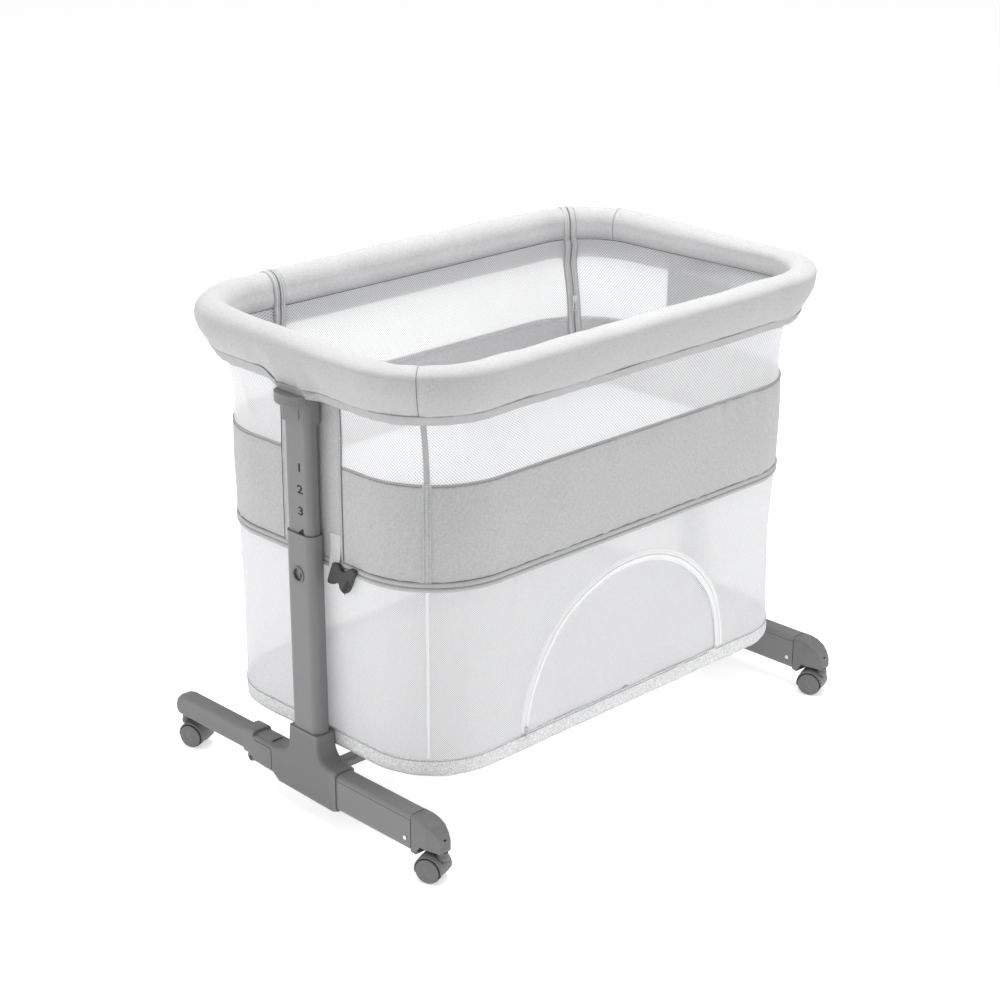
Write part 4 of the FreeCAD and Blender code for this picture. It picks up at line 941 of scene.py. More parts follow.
# double binding round the lower edge of the band
wall_line_pair("band_binding_upper", 421.4, 0.4, 3.7, BIND, k=12, flat=0.62, full=True)
wall_line_pair("band_binding_lower", 413.8, 0.2, 3.7, BIND, k=12, flat=0.66, full=True)
wall_line_pair("band_binding_shadow", 425.6, -0.1, 0.75, SEAMC, k=6, full=True)
wall_line_pair("band_binding_gap", 417.6, 0.9, 0.7, SEAMC, k=6, full=True)
wall_stitches("band_binding_stitches", 419.6, 2.4, TH_GREY, full=True, pitch=4.2, length=2.8, r=0.32, lift=0.0)


def squash(o):
    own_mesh(o)
    return o


DCX, DCZ, DR = -3.0, 139.0, 224.0


def front_y(z):
    return -float(np.interp(z, [116, 142, 412], [252, 252, 261.4]))


def full_net(name, zs, off, amp_, seed):
    R3 = wall_rows(zs, np.full(len(zs), off))
    Sx, Zx = np.meshgrid(RS, zs)
    tt = np.clip((Zx - 142) / 270.0, 0, 1)
    w = Wobble(seed, 12, 60, 210, 0.35)(Sx, Zx)
    f = Wobble(seed + 1, 10, 24, 60, 0.10)(Sx, Zx)
    inw = 0.3 + 0.7 * (1 - ENDS[None])
    d = (-1.5 - 1.2 * w * inw) * np.sin(math.pi * tt) + 0.55 * f * inw * (0.25 + np.exp(-tt * 3)) * np.sin(math.pi * np.clip(tt * 1.02, 0, 1)) ** 0.5
    d = np.where(NEARPOST[None] > 0.2, np.minimum(d, 0.0), d)
    return R3 + NRM3[None] * (amp_ * d)[..., None]


zs_net = np.linspace(141.0, 414.0, 58)
NETG = full_net("n", zs_net, -0.6, 1.0, 53)


def grid_with_hole(name, G, mat, inside, U, V):
    """Closed ring of quads without those whose centre is inside."""
    nv, nu = G.shape[:2]
    verts = G.reshape(-1, 3).copy()
    faces, uvs = [], []
    U = np.append(U, U[-1] + (U[-1] - U[-2]))
    for j in range(nv - 1):
        for i in range(nu):
            i1 = (i + 1) % nu
            q = [j * nu + i, j * nu + i1, (j + 1) * nu + i1, (j + 1) * nu + i]
            if inside(verts[q].mean(0)):
                continue
            faces.append(q)
            uvs += [(U[i], V[j]), (U[i + 1], V[j]), (U[i + 1], V[j + 1]), (U[i], V[j + 1])]
    used = np.unique(np.array(faces).ravel())
    remap = -np.ones(len(verts), int)
    remap[used] = np.arange(len(used))
    me = bpy.data.meshes.new(name)
    me.from_pydata((verts[used] * MM).tolist(), [], [[int(remap[k2]) for k2 in f] for f in faces])
    layer = me.uv_layers.new(name="UVMap")
    layer.data.foreach_set("uv", (np.array(uvs) * MM).astype(np.float32).ravel())
    me.materials.append(mat)
    me.polygons.foreach_set("use_smooth", np.full(len(me.polygons), True))
    me.update()
    o = bpy.data.objects.new(name, me)
    bpy.context.scene.collection.objects.link(o)
    return o


def in_arch(p, rad=DR - 3.5):
    return p[1] < -200 and (p[0] - DCX) ** 2 + (p[2] - DCZ) ** 2 < rad ** 2


net = grid_with_hole("storage_net", NETG, NET_LO, in_arch, RS, zs_net - 141)
place(net, "basket", ["storage_mesh"])
squash(net)


# front columns as an interpolation table
fr = np.where((RN[:, 1] < -0.999))[0]
fx = NETG[0, fr, 0]
order = np.argsort(fx)
FXX, FYY = fx[order], NETG[:, fr[order], 1]


def surf_y(x, z):
    j = np.interp(z, zs_net, np.arange(len(zs_net)))
    j0 = int(min(max(math.floor(j), 0), len(zs_net) - 2))
    a = np.interp(x, FXX, FYY[j0])
    b = np.interp(x, FXX, FYY[j0 + 1])
    return float(a + (b - a) * (j - j0))


# door panel: polar grid inside the arch
na, nr = 72, 26
phi = np.linspace(0, math.pi, na)
DG = np.zeros((nr, na, 3))
for jr in range(nr):
    rad = (DR - 4.5) * (1 - jr / nr) if jr < nr else 0
    for ia, p in enumerate(phi):
        x = DCX + rad * math.cos(p)
        z = max(142.6, DCZ + rad * math.sin(p) + 3.6 * (1 - math.sin(p)) ** 3)
        slack = 1.4 * math.sin(math.pi * (1 - jr / nr)) + 0.7 * math.sin(x * 0.055 + z * 0.02)
        DG[jr, ia] = (x, surf_y(x, z) + 1.0 + slack * (rad / DR > 0.02), z)
door = grid("storage_door_net", DG, NET_DR, U=phi * 140, V=np.linspace(0, 205, nr))
uvl = door.data.uv_layers[0]
vi = np.zeros(len(door.data.loops), np.int32)
door.data.loops.foreach_get("vertex_index", vi)
cc = DG.reshape(-1, 3)[vi]
uvl.data.foreach_set("uv", (cc[:, [0, 2]] * MM).astype(np.float32).ravel())
place(door, "storage_flap", ["storage_door"])
squash(door)


def arch_line(q, lift=0.0, z_min=141.0):
    out = []
    for p in np.linspace(0.0, math.pi, 150):
        x, z = DCX + (DR + q) * math.cos(p), DCZ + (DR + q) * math.sin(p)
        if z < z_min:
            continue
        out.append((x, surf_y(x, z) - lift, z))
    return np.array(out)


def arch_ribbon(name, prof, body, mat, q0=0.0):
    P = arch_line(q0)
    N = np.tile([0, -1, 0.03], (len(P), 1))
    t, s, n = frames(P, N)
    if (s[len(s) // 2] @ np.array([0, 0, 1])) < 0:      # across runs outward from the arch centre
        prof = [(-a, b) for a, b in prof][::-1]
    o = ribbon(name, P, N, prof, mat, thick=0.6)
    place(o, body)
    squash(o)
    return o


# outer tape on the basket, inner tape on the door, covered coil between them
arch_ribbon("storage_zip_tape", [(0.4, 0.3), (0.8, 1.7), (2.0, 2.4), (3.4, 2.2), (4.4, 1.2), (5.6, 0.7), (7.6, 0.9), (9.0, 0.75), (9.6, 0.2)],
            "basket", TAPEW)
arch_ribbon("storage_door_tape", [(-9.4, 0.2), (-8.8, 0.8), (-7.2, 1.0), (-5.2, 0.7), (-4.0, 1.2), (-2.8, 2.1), (-1.4, 2.2), (-0.5, 1.5), (-0.2, 0.3)],
            "storage_flap", TAPEW)
bt = Batch()
P = arch_line(8.4, 1.0)
stitches(bt, P, np.tile([0, -1, 0], (len(P), 1)), pitch=3.4, length=2.3, r=0.3, lift=0.1)
squash(place(bt.make("storage_zip_stitches_outer", TH_LIGHT), "basket"))
bt = Batch()
P = arch_line(-8.2, 1.1)
stitches(bt, P, np.tile([0, -1, 0], (len(P), 1)), pitch=3.4, length=2.3, r=0.3, lift=0.1)
squash(place(bt.make("storage_zip_stitches_inner", TH_LIGHT), "storage_flap"))

# hem: folded melange strip with a stitched top edge
hz = [115.2, 116.4, 120, 126, 132, 138, 141.2, 142.6, 143.0, 142.4, 138, 128, 120, 116.2]
ho = [-1.2, 0.4, 1.1, 1.3, 1.2, 1.0, 0.9, 0.5, -0.6, -1.6, -1.9, -2.0, -1.9, -1.7]


def hem_ring(z, off):
    P, Nn = ring(419.0 + off, 252.0 + off, 118.4 + off, 378.0, CNTW)
    return np.concatenate([P, np.full((MW, 1), z)], 1)


HEM = np.stack([hem_ring(z, o) for z, o in zip(hz, ho)], 0)
hs = Wobble(61, 14, 14, 60, 0.3)(RS, 0.0)
hmask = (1 - NEARPOST) * (1 - 0.6 * ENDS)
HEM = HEM + NRM3[None] * (0.45 * hs * hmask)[None, :, None]
HEM[..., 2] += (0.45 * Wobble(67, 8, 60, 240)(RS, 0.0))[None]
hem = grid("storage_hem_cloth", HEM, HEMC, cu=True, cv=True, U=RS, V=arclen(np.stack([np.array(ho), np.array(hz)], 1)))
place(hem, "basket", ["storage_hem"])
squash(hem)
for nm, z, o, sl in (("hem_stitches_a", 140.6, 1.15, 0.7), ("hem_stitches_b", 140.6, 1.15, -0.7)):
    P = hem_ring(z, o)
    if nm.endswith("b"):
        P = np.roll(P, 1, axis=0) * 0.5 + P * 0.5
    bt = Batch()
    stitches(bt, P, NRM3, pitch=4.4, length=2.8, r=0.34, lift=0.15, closed=True, slant=sl)
    squash(place(bt.make(nm, TH_DARK), "basket"))
bt = Batch()
stitches(bt, hem_ring(119.0, 1.1), NRM3, pitch=4.0, length=2.8, r=0.3, lift=0.1, closed=True)
squash(place(bt.make("hem_stitches_low", TH_GREY), "basket"))


def ring_scaled(hx, hy, r, s, cnt):
    """Rounded rectangle shrunk towards its long middle line."""
    core = hx - hy
    P, Nn = ring(hx, hy, r, min(hx - 1, 378.0), cnt)
    cx = np.clip(P[:, 0], -core, core)
    Q = np.stack([cx + (P[:, 0] - cx) * s, P[:, 1] * s], 1)
    return Q, Nn


def cushion(name, hx, hy, r, z_low, z_top, mat, crown=3.0, roll=8.0, quilt=0.0, cell=70.0, step=9.0):
    cnt = counts(step)
    m = sum(cnt)
    rows = []
    mid = (z_low + z_top) / 2
    half = (z_top - z_low) / 2
    inner = np.linspace(0.0, 1.0, 34)[:-1]
    side = np.linspace(-math.pi / 2, math.pi / 2, 13)

    def edge(t):                                     # rounded side, proud in the middle
        return math.cos(t), math.sin(t)

    def level(s):
        return crown * (1 - s ** 2.4)

    for s in inner:                                  # underside, middle to edge
        P, _ = ring_scaled(hx - roll, hy - roll, r - roll, max(s, 1e-3), cnt)
        rows.append(np.concatenate([P, np.full((m, 1), z_low)], 1))
    for t in side:
        c, sn = edge(t)
        P, Nn = ring(hx - roll + roll * c, hy - roll + roll * c, r - roll + roll * c, 378.0, cnt)
        rows.append(np.concatenate([P, np.full((m, 1), mid + half * sn)], 1))
    for s in inner[::-1]:                            # top, edge to middle
        P, _ = ring_scaled(hx - roll, hy - roll, r - roll, max(s, 1e-3), cnt)
        z = np.full(m, z_top + level(s))
        if quilt:
            u, v = (P[:, 0] + P[:, 1]) / cell, (P[:, 0] - P[:, 1]) / cell
            z = z - quilt * (np.maximum(np.abs(np.cos(math.pi * u)), np.abs(np.cos(math.pi * v))) ** 14) * sstep(1 - s, 0, 0.12)
        rows.append(np.concatenate([P, z[:, None]], 1))
    G = np.stack(rows, 0)
    return G


def cushion_mesh(name, G, mat):
    o = grid(name, G, mat, cu=True, cv=False)
    uvl = o.data.uv_layers[0]
    vi = np.zeros(len(o.data.loops), np.int32)
    o.data.loops.foreach_get("vertex_index", vi)
    co = G.reshape(-1, 3)[vi] * MM
    uvl.data.foreach_set("uv", (co[:, :2] + co[:, 2:3] * 0.7).astype(np.float32).ravel())
    return o


FL = cushion("f", 415.5, 248.6, 115.0, 118.0, 122.6, BOARD, crown=0.6, roll=2.2)
floor_o = cushion_mesh("storage_floor_board", FL, WHITE)
place(floor_o, "basket", ["storage_floor"])
squash(floor_o)

# =====================================================================
# mattress
# =====================================================================
MT = cushion("m", 416.0, 251.0, 133.0, 426.6, 455.0, MATT, crown=4.0, roll=11.0, quilt=1.6, cell=86.0, step=7.0)
mattress = cushion_mesh("mattress_cover", MT, MATT)
place(mattress, "basket", ["mattress"])
for z in (430.5, 451.5):
    P, Nn = ring(415.6, 250.6, 132.6, 378.0, counts(9.0))
    place(tube("mattress_piping_%d" % int(z), np.concatenate([P, np.full((len(P), 1), z)], 1), 1.8, MATT,
               closed=True, k=8), "basket")

# =====================================================================
# zips of the drop side: two padded tapes that meet over the rail
# =====================================================================


def gate_path(right, inside):
    """Points and surface normals of the zip line from the fold line up to the top of the rail and over."""
    st_w, st_r = (H0, G0) if right else (H1, G1)
    pts, nn = [], []
    sgn = -1.0 if inside else 1.0
    for z in np.linspace(526, 706 if inside else 664, 36):
        P, Nn = wall_ring(z, 0.0)
        p, n = P[st_w % MW], Nn[st_w % MW]
        t = 2.4 if z < 572 else 1.6
        pts.append(p + n * ((-t) if inside else 0.3))
        nn.append(n * sgn)
    if inside:
        ks = range(k0 + 1, int(np.argmax(S0[:, 1])) - 1, -1)
    else:
        ks = range(2, int(np.argmax(S0[:, 1])) + 1)
    for k2 in ks:
        pts.append(PAD[k2, st_r % M])
        nn.append(nrm[k2, st_r % M])
    return np.array(pts), np.array(nn)


def zip_side(tag, right):
    Pi, Ni = gate_path(right, True)
    Po, No = gate_path(right, False)
    P = np.vstack([Pi, Po[::-1][1:]])
    N = np.vstack([Ni, No[::-1][1:]])
    seg = np.linalg.norm(np.diff(P, axis=0), axis=1)
    keep = np.concatenate([[True], seg > 0.4])
    P, N = P[keep], N[keep]
    d = np.concatenate([[0], np.cumsum(np.linalg.norm(np.diff(P, axis=0), axis=1))])
    s = np.linspace(0, d[-1], int(d[-1] / 3.0))
    P = np.stack([np.interp(s, d, P[:, i]) for i in range(3)], 1)
    N = np.stack([np.interp(s, d, N[:, i]) for i in range(3)], 1)
    for _ in range(6):                                # smooth the line where net, seam and padding meet
        P[1:-1] = (P[:-2] + 2 * P[1:-1] + P[2:]) / 4
        N[1:-1] = (N[:-2] + 2 * N[1:-1] + N[2:]) / 4
    N /= np.linalg.norm(N, axis=1, keepdims=True)
    P = P + N * 0.6
    # the fixed cloth lies on -u or +u of the line; take the side from the drop side's middle
    t, sd, n = frames(P, N)
    gate_mid = np.array([55.0, 265.0, 640.0])
    to_gate = np.sign((sd[3] @ (gate_mid - P[3])))
    prof = [(0.9, -0.8), (1.1, 0.9), (1.9, 2.0), (3.1, 2.0), (4.0, 0.6), (4.7, 0.4), (5.5, 1.7), (7.4, 2.3),
            (9.2, 1.8), (10.1, 0.8), (11.2, 0.5), (11.7, 0.1)]
    for body, sg in (("basket", -to_gate), ("drop_side", to_gate)):
        pr = [(a * sg, b) for a, b in prof]
        if sg < 0:
            pr = pr[::-1]
        o = ribbon("%s_zip_tape_%s" % (body, tag), P, N, pr, TAPE, thick=0.8)
        place(o, body)
        b1 = Batch()
        stitches(b1, P + sd * sg * 10.7 + n * 0.7, n, pitch=3.2, length=2.4, r=0.3, lift=0.2, slant=0.8)
        stitches(b1, P + sd * sg * 10.7 + n * 0.7 + t * 1.6, n, pitch=3.2, length=2.4, r=0.3, lift=0.2, slant=-0.8)
        place(b1.make("%s_zip_stitches_%s" % (body, tag), TH_GREY), body)
        # coil teeth
        b2 = Batch()
        stitches(b2, P + sd * sg * 0.75 + n * 1.0, n, pitch=1.5, length=0.9, r=0.55, lift=0.2)
        place(b2.make("%s_zip_coil_%s" % (body, tag), TH_GREY), body)


zip_side("left", False)
zip_side("right", True)


def slider(name, body, centre, normal, updir, nodes, mat=ZIPM, scale=1.0):
    """Zip slider with bridge and a hanging pull."""
    n = np.array(normal, float); n /= np.linalg.norm(n)
    u = np.array(updir, float); u -= n * (u @ n); u /= np.linalg.norm(u)
    s = np.cross(u, n)
    c = np.array(centre, float)

    def pt(a, b, h):
        return c + (s * a + u * b + n * h) * scale

    B = Batch()

    def slab(outline_, h0, h1):
        k = len(outline_)
        v = [pt(a, b, h0) for a, b in outline_] + [pt(a, b, h1) for a, b in outline_]
        f = [list(range(k))[::-1], [k + i for i in range(k)]]
        f += [[i, (i + 1) % k, k + (i + 1) % k, k + i] for i in range(k)]
        B.add(v, f)

    body_ = [(-2.6, -6.0), (2.6, -6.0), (3.4, -3.0), (4.4, 3.5), (3.2, 6.2), (0.9, 6.2), (0, 4.4), (-0.9, 6.2),
             (-3.2, 6.2), (-4.4, 3.5), (-3.4, -3.0)]
    slab(body_, 0.0, 1.3)
    slab([(a * 0.98, b * 0.98) for a, b in body_], 2.0, 3.3)
    slab([(-1.1, -5.0), (1.1, -5.0), (1.1, 5.0), (-1.1, 5.0)], 1.2, 2.1)
    # bridge
    for b0, b1, h0, h1 in ((-4.6, -3.0, 3.2, 5.0), (2.6, 4.2, 3.2, 5.0), (-4.6, 4.2, 4.6, 5.5)):
        slab([(-1.0, b0), (1.0, b0), (1.0, b1), (-1.0, b1)], h0, h1)
    # pull: a long ring that hangs from the bridge
    pull = []
    for a in np.linspace(0, TAU, 28, endpoint=False):
        pull.append((2.7 * math.cos(a) * (1.15 if math.sin(a) < 0 else 0.8), -11.0 + 9.6 * math.sin(a)))
    outer = [pt(a, b, 4.0 - 0.02 * b) for a, b in pull]
    ring_o = np.array(outer)
    m = len(ring_o)
    tt, ss, nn = frames(ring_o, np.tile(n, (m, 1)), True)
    k = 6
    vv = []
    for i in range(m):
        for j in range(k):
            w = TAU * j / k
            vv.append(ring_o[i] + 0.95 * scale * (math.cos(w) * ss[i] + 0.7 * math.sin(w) * nn[i]))
    ff = [[i * k + j, i * k + (j + 1) % k, ((i + 1) % m) * k + (j + 1) % k, ((i + 1) % m) * k + j]
          for i in range(m) for j in range(k)]
    B.add(vv, ff)
    o = B.make(name, mat, smooth=False)
    bevel(o, 0.25, 2, 50)
    place(o, body, nodes)
    return o


Pz, Nz = wall_ring(606.0, -2.6)
slider("zip_slider_left", "zip_left", Pz[H1 % MW] - Nz[H1 % MW] * 1.2, -Nz[H1 % MW], (0, -0.0977, 0.9952), ["drop_side_slider_left"])
slider("zip_slider_right", "zip_right", Pz[H0 % MW] - Nz[H0 % MW] * 1.2, -Nz[H0 % MW], (0, 0, 1), ["drop_side_slider_right"])
zs_o = slider("zip_slider_storage", "zip_storage", (DCX - DR + 0.6, surf_y(DCX - DR, 148) - 2.4, 149.0), (0, -1, 0), (0, 0, 1),
              ["storage_door_slider"], scale=0.8)
squash(zs_o)

# =====================================================================
# corner tape, end strips, bed strap
# =====================================================================


def station_near(x, y):
    return int(np.argmin((RP[:, 0] - x) ** 2 + (RP[:, 1] - y) ** 2))


def wall_column(i, zs_, off):
    out, nn = [], []
    for z in zs_:
        P, Nn = wall_ring(float(z), off)
        p = P[i % MW] + Nn[i % MW] * (2.2 * math.sin(math.pi * min(1, max(0, (z - 412) / 160.0))) * (1 if z < 572 else 0)
                                      * (1 - NEARPOST[i % MW]) * (1 - 0.5 * ENDS[i % MW]))
        out.append(p)
        nn.append(Nn[i % MW])
    return np.array(out), np.array(nn)


ci = station_near(-396.0, -225.0)
P, Nn = wall_column(ci, np.linspace(575, 672, 28), -1.4)
place(ribbon("corner_tape_upper", P, Nn, [(-4.2, 0.1), (-3.8, 0.8), (-2.2, 0.95), (0, 0.8), (2.2, 0.95), (3.8, 0.8), (4.2, 0.1)], BIND),
      "basket")
P, Nn = wall_column(ci, np.linspace(425, 574, 40), 0.1)
place(ribbon("corner_tape_band", P, Nn, [(-6.4, 0.1), (-6.0, 0.9), (-4.6, 1.5), (-3.4, 0.9), (-2.9, 0.5), (-2.2, 1.0), (0, 1.35), (2.2, 1.0),
                                         (2.9, 0.5), (3.4, 0.9), (4.6, 1.5), (6.0, 0.9), (6.4, 0.1)], BAND), "basket")
t_, s_, n_ = frames(P, Nn)
bt = Batch()
for q in (-3.0, 3.0):
    stitches(bt, P + s_ * q + n_ * 0.5, n_, pitch=3.6, length=2.5, r=0.34, lift=0.15)
place(bt.make("corner_tape_stitches", TH_GREY), "basket")
P, Nn = wall_column(ci, np.linspace(143, 410, 60), -0.4)
o = ribbon("storage_corner_seam", P, Nn, [(-2.2, 0.05), (-1.8, 0.35), (-0.9, 0.45), (-0.3, 0.2), (0.3, 0.2), (0.9, 0.45), (1.8, 0.35), (2.2, 0.05)], TAPEW)
place(o, "basket")
squash(o)

# cloth strips that cover the wall behind both posts
for tag, sx in (("left", -1), ("right", 1)):
    ys = np.concatenate([[-76.6, -76.0, -74.6], np.linspace(-70, 50, 40), [54.6, 56.0, 56.6]])
    zz = np.linspace(424, 690, 60)
    prof = np.concatenate([[0.0, 0.7, 1.15], np.full(40, 0.85), [1.15, 0.7, 0.0]])
    G = np.zeros((len(ys) * 1, len(zz), 3))
    for j, y in enumerate(ys):
        for i, z in enumerate(zz):
            hx = wall_at(min(z, 668))[0]
            lump = 0.0 if abs(y + 10) < 42 else 0.35 * math.sin(z * 0.11 + y * 0.07)
            G[j, i] = (sx * (hx + prof[j] + lump * (prof[j] > 0.8) - (0.2 if z > 660 else 0)), y, z)
    under = G[::-1].copy()
    under[..., 0] -= sx * 0.9
    GG = np.concatenate([G, under], 0)
    o = grid("end_strip_" + tag, GG, BAND, cv=True, flip=(sx > 0))
    place(o, "basket")
    for nm, y, rr, mt in (("front", -77.4, 0.9, SEAMC), ("rear", 57.2, 0.7, SEAMC)):
        L = np.array([(sx * (wall_at(min(z, 668))[0] + 0.6), y, z) for z in zz])
        place(tube("end_strip_edge_%s_%s" % (nm, tag), L, rr, mt, (sx, 0, 0), k=6), "basket")
    bt = Batch()
    for y in (-73.0, 53.0):
        L = np.array([(sx * (wall_at(min(z, 668))[0] + 1.1), y, z) for z in zz])
        stitches(bt, L, np.tile([sx, 0, 0], (len(L), 1)), pitch=3.8, length=2.6, r=0.32, lift=0.1)
    place(bt.make("end_strip_stitches_" + tag, TH_GREY), "basket")


def prism_mesh(name, outline_, lo, hi, axis, mat, bev=0.8, smooth=True):
    """Flat part from an outline, extruded along an axis and rounded."""
    k = len(outline_)

    def pt(a, b, h):
        return (h, a, b) if axis == "x" else (a, h, b)

    v = [pt(a, b, lo) for a, b in outline_] + [pt(a, b, hi) for a, b in outline_]
    f = [list(range(k)), [k + i for i in range(k)][::-1]]
    f += [[i, k + i, k + (i + 1) % k, (i + 1) % k] for i in range(k)]
    o = raw(name, v, f, mat, smooth=False)
    if bev:
        bevel(o, bev, 3, 40)
    return o


bo = spline([(-61, 423), (-74, 424), (-81, 416), (-89, 417), (-101, 425), (-112, 423), (-108, 413), (-95, 387),
             (-84, 382), (-76, 387), (-73, 394), (-61, 389), (-49, 389), (-51, 399), (-56, 411), (-61, 423)], 3)[:-1]
bk = prism_mesh("strap_buckle_body", [tuple(p) for p in bo], -434.0, -427.4, "x", BUCKLE, bev=1.6)
place(bk, "basket", ["strap_buckle"])
ribs = Batch()
for q in np.linspace(0, 1, 6):
    y0, z0 = -97 + 10 * q, 402 - 18 * q
    c = np.array([-434.4, y0, z0])
    for dz in (0,):
        L = np.array([c + np.array([0, a, a * 0.9]) for a in np.linspace(-3.2, 3.2, 6)])
        t_, s_, n_ = frames(L, np.tile([-1, 0, 0], (6, 1)))
        ring_v = []
        for i in range(6):
            for j in range(6):
                w = TAU * j / 6
                ring_v.append(L[i] + 0.55 * (math.cos(w) * s_[i] + math.sin(w) * n_[i]))
        ribs.add(ring_v, [[i * 6 + j, i * 6 + (j + 1) % 6, (i + 1) * 6 + (j + 1) % 6, (i + 1) * 6 + j]
                          for i in range(5) for j in range(6)])
place(ribs.make("strap_buckle_ribs", BUCKLE), "basket")
# strap: comes from the wall above the binding, through the buckle and back
zz = spline([(-425.9, 466), (-426.2, 440), (-428.6, 424), (-430.4, 410), (-431.2, 402), (-430.6, 397.5), (-429.0, 398),
             (-427.6, 404), (-426.4, 416)], 8)
P = np.stack([zz[:, 0], np.full(len(zz), -61.0), zz[:, 1]], 1)
N = np.tile([-1.0, 0, 0], (len(P), 1))
tt_ = np.gradient(P, axis=0)
tt_ /= np.linalg.norm(tt_, axis=1, keepdims=True)
N = np.cross(tt_, np.tile([0, 1.0, 0], (len(P), 1)))
o = ribbon("bed_strap_web", P, N, [(-11, 0.0), (-10.6, 0.5), (-6, 0.6), (0, 0.62), (6, 0.6), (10.6, 0.5), (11, 0.0)], WEB, thick=0.7)
place(o, "basket", ["bed_strap"])

# =====================================================================
# casters: twin wheels with hub discs under a hood
# =====================================================================


def lathe(B, cx, cy, cz, prof, axis="x", k=40, a0=0.0, a1=TAU):
    """Revolve (distance along the axis, radius) about an axis line."""
    closed = abs((a1 - a0) - TAU) < 1e-6
    n = k if closed else k + 1
    v = []
    for i in range(n):
        a = a0 + (a1 - a0) * i / k
        for h, r in prof:
            v.append((cx + h, cy + r * math.cos(a), cz + r * math.sin(a)))
    m = len(prof)
    f = []
    for i in range(k):
        i1 = (i + 1) % n
        for j in range(m - 1):
            f.append([i * m + j, i * m + j + 1, i1 * m + j + 1, i1 * m + j])
    B.add(v, f)


def turn_about(B, xc, sy, deg=20.0):
    """Turn all collected shapes about an upright line."""
    c, s = math.cos(math.radians(deg)), math.sin(math.radians(deg))
    for q in B.v:
        x, y = q[:, 0] - xc, q[:, 1] - sy
        q[:, 0], q[:, 1] = xc + c * x - s * y, sy + s * x + c * y


def caster(tag, xc, sy, inward, seat):
    wy = sy + inward * 16.0
    rz = 20.0
    # wheels
    T, D, S = Batch(), Batch(), Batch()
    for s in (-1, 1):
        tread = [(5.9, 4.0), (6.3, 14), (6.5, 17.6), (7.0, 19.4), (8.2, 20.0), (16.6, 20.0), (18.2, 19.7), (18.9, 19.0), (19.0, 17.6)]
        lathe(T, xc, wy, rz, [(s * h, r) for h, r in tread][::(1 if s > 0 else -1)], k=56)
        disc = [(18.6, 18.2), (19.3, 18.9), (20.0, 18.8), (20.5, 18.2), (20.8, 16.5), (21.0, 12.0), (21.15, 6.0), (21.2, 0.01)]
        lathe(D, xc, wy, rz, [(s * h, r) for h, r in disc][::(1 if s > 0 else -1)], k=56)
    turn_about(T, xc, sy)
    turn_about(D, xc, sy)
    tr = T.make("caster_tread_" + tag, TREAD)
    place(tr, "wheels_" + tag, ["caster_wheels_" + tag])
    di = D.make("caster_discs_" + tag, CASTER)
    place(di, "wheels_" + tag)
    # hood over both wheels, open below, with the neck of the stem
    H = Batch()
    lo_a, hi_a = (math.radians(-6), math.radians(196)) if inward < 0 else (math.radians(-16), math.radians(186))
    n = 44
    prof = [(-18.1, 20.5), (-18.1, 21.2), (-17.2, 22.3), (-12, 22.9), (0, 23.2), (12, 22.9), (17.2, 22.3), (18.1, 21.2), (18.1, 20.5),
            (12, 20.6), (0, 20.6), (-12, 20.6)]
    m = len(prof)
    v = []
    for i in range(n + 1):
        a = lo_a + (hi_a - lo_a) * i / n
        for h, r in prof:
            v.append((xc + h, wy + r * math.cos(a), rz + r * math.sin(a)))
    f = []
    for i in range(n):
        for j in range(m):
            j1 = (j + 1) % m
            f.append([i * m + j, i * m + j1, (i + 1) * m + j1, (i + 1) * m + j])
    f.append(list(range(m)))
    f.append([n * m + j for j in range(m)][::-1])
    H.add(v, f)
    # web between the wheels that carries the axle, and the stem block
    web = [(-5.3, 0.01), (-5.3, 17.0), (-4.6, 17.8), (4.6, 17.8), (5.3, 17.0), (5.3, 0.01)]
    lathe(H, xc, wy, rz, web, k=36)
    neck = [(0.01, 36.0), (8.9, 36.0), (9.2, 39.0), (9.0, 41.5), (8.2, 42.6), (8.0, seat - 0.3), (0.01, seat - 0.3)]
    vv, k = [], 28
    for i in range(k):
        a = TAU * i / k
        for r, z in neck:
            vv.append((xc + r * math.cos(a), sy + r * math.sin(a), z))
    ff = []
    mm_ = len(neck)
    for i in range(k):
        i1 = (i + 1) % k
        for j in range(mm_ - 1):
            ff.append([i * mm_ + j, i1 * mm_ + j, i1 * mm_ + j + 1, i * mm_ + j + 1])
    H.add(vv, ff)
    turn_about(H, xc, sy)
    hood = H.make("caster_hood_" + tag, CASTER, smooth=True)
    place(hood, "fork_" + tag, ["caster_fork_" + tag])
    es = hood.modifiers.new("split", "EDGE_SPLIT")
    es.split_angle = math.radians(40)
    # moulded rib and recess on the hood
    R = Batch()
    dirs = -inward
    for sgn in (-1, 1):
        L = []
        for q in np.linspace(0, 1, 9):
            a = math.radians(90 - dirs * (18 + 42 * q))
            L.append((xc + sgn * (2.0 + 5.5 * q), wy + 23.35 * math.cos(a), rz + 23.35 * math.sin(a)))
        L = np.array(L)
        nn = np.stack([np.zeros(9), L[:, 1] - wy, L[:, 2] - rz], 1)
        nn /= np.linalg.norm(nn, axis=1, keepdims=True)
        t2, s2, n2 = frames(L, nn)
        rv = []
        for i in range(9):
            for j in range(6):
                w = TAU * j / 6
                rv.append(L[i] + 0.5 * (math.cos(w) * s2[i] + 0.6 * math.sin(w) * n2[i]))
        R.add(rv, [[i * 6 + j, i * 6 + (j + 1) % 6, (i + 1) * 6 + (j + 1) % 6, (i + 1) * 6 + j] for i in range(8) for j in range(6)])
    turn_about(R, xc, sy)
    place(R.make("caster_hood_lines_" + tag, GROOVE), "fork_" + tag)


for tag, sx, front in (("front_left", -1, True), ("front_right", 1, True), ("rear_left", -1, False), ("rear_right", 1, False)):
    caster(tag, 441.0 * sx, -300.0 if front else 311.0, 1.0 if front else -1.0, 48.0 if front else 51.0)

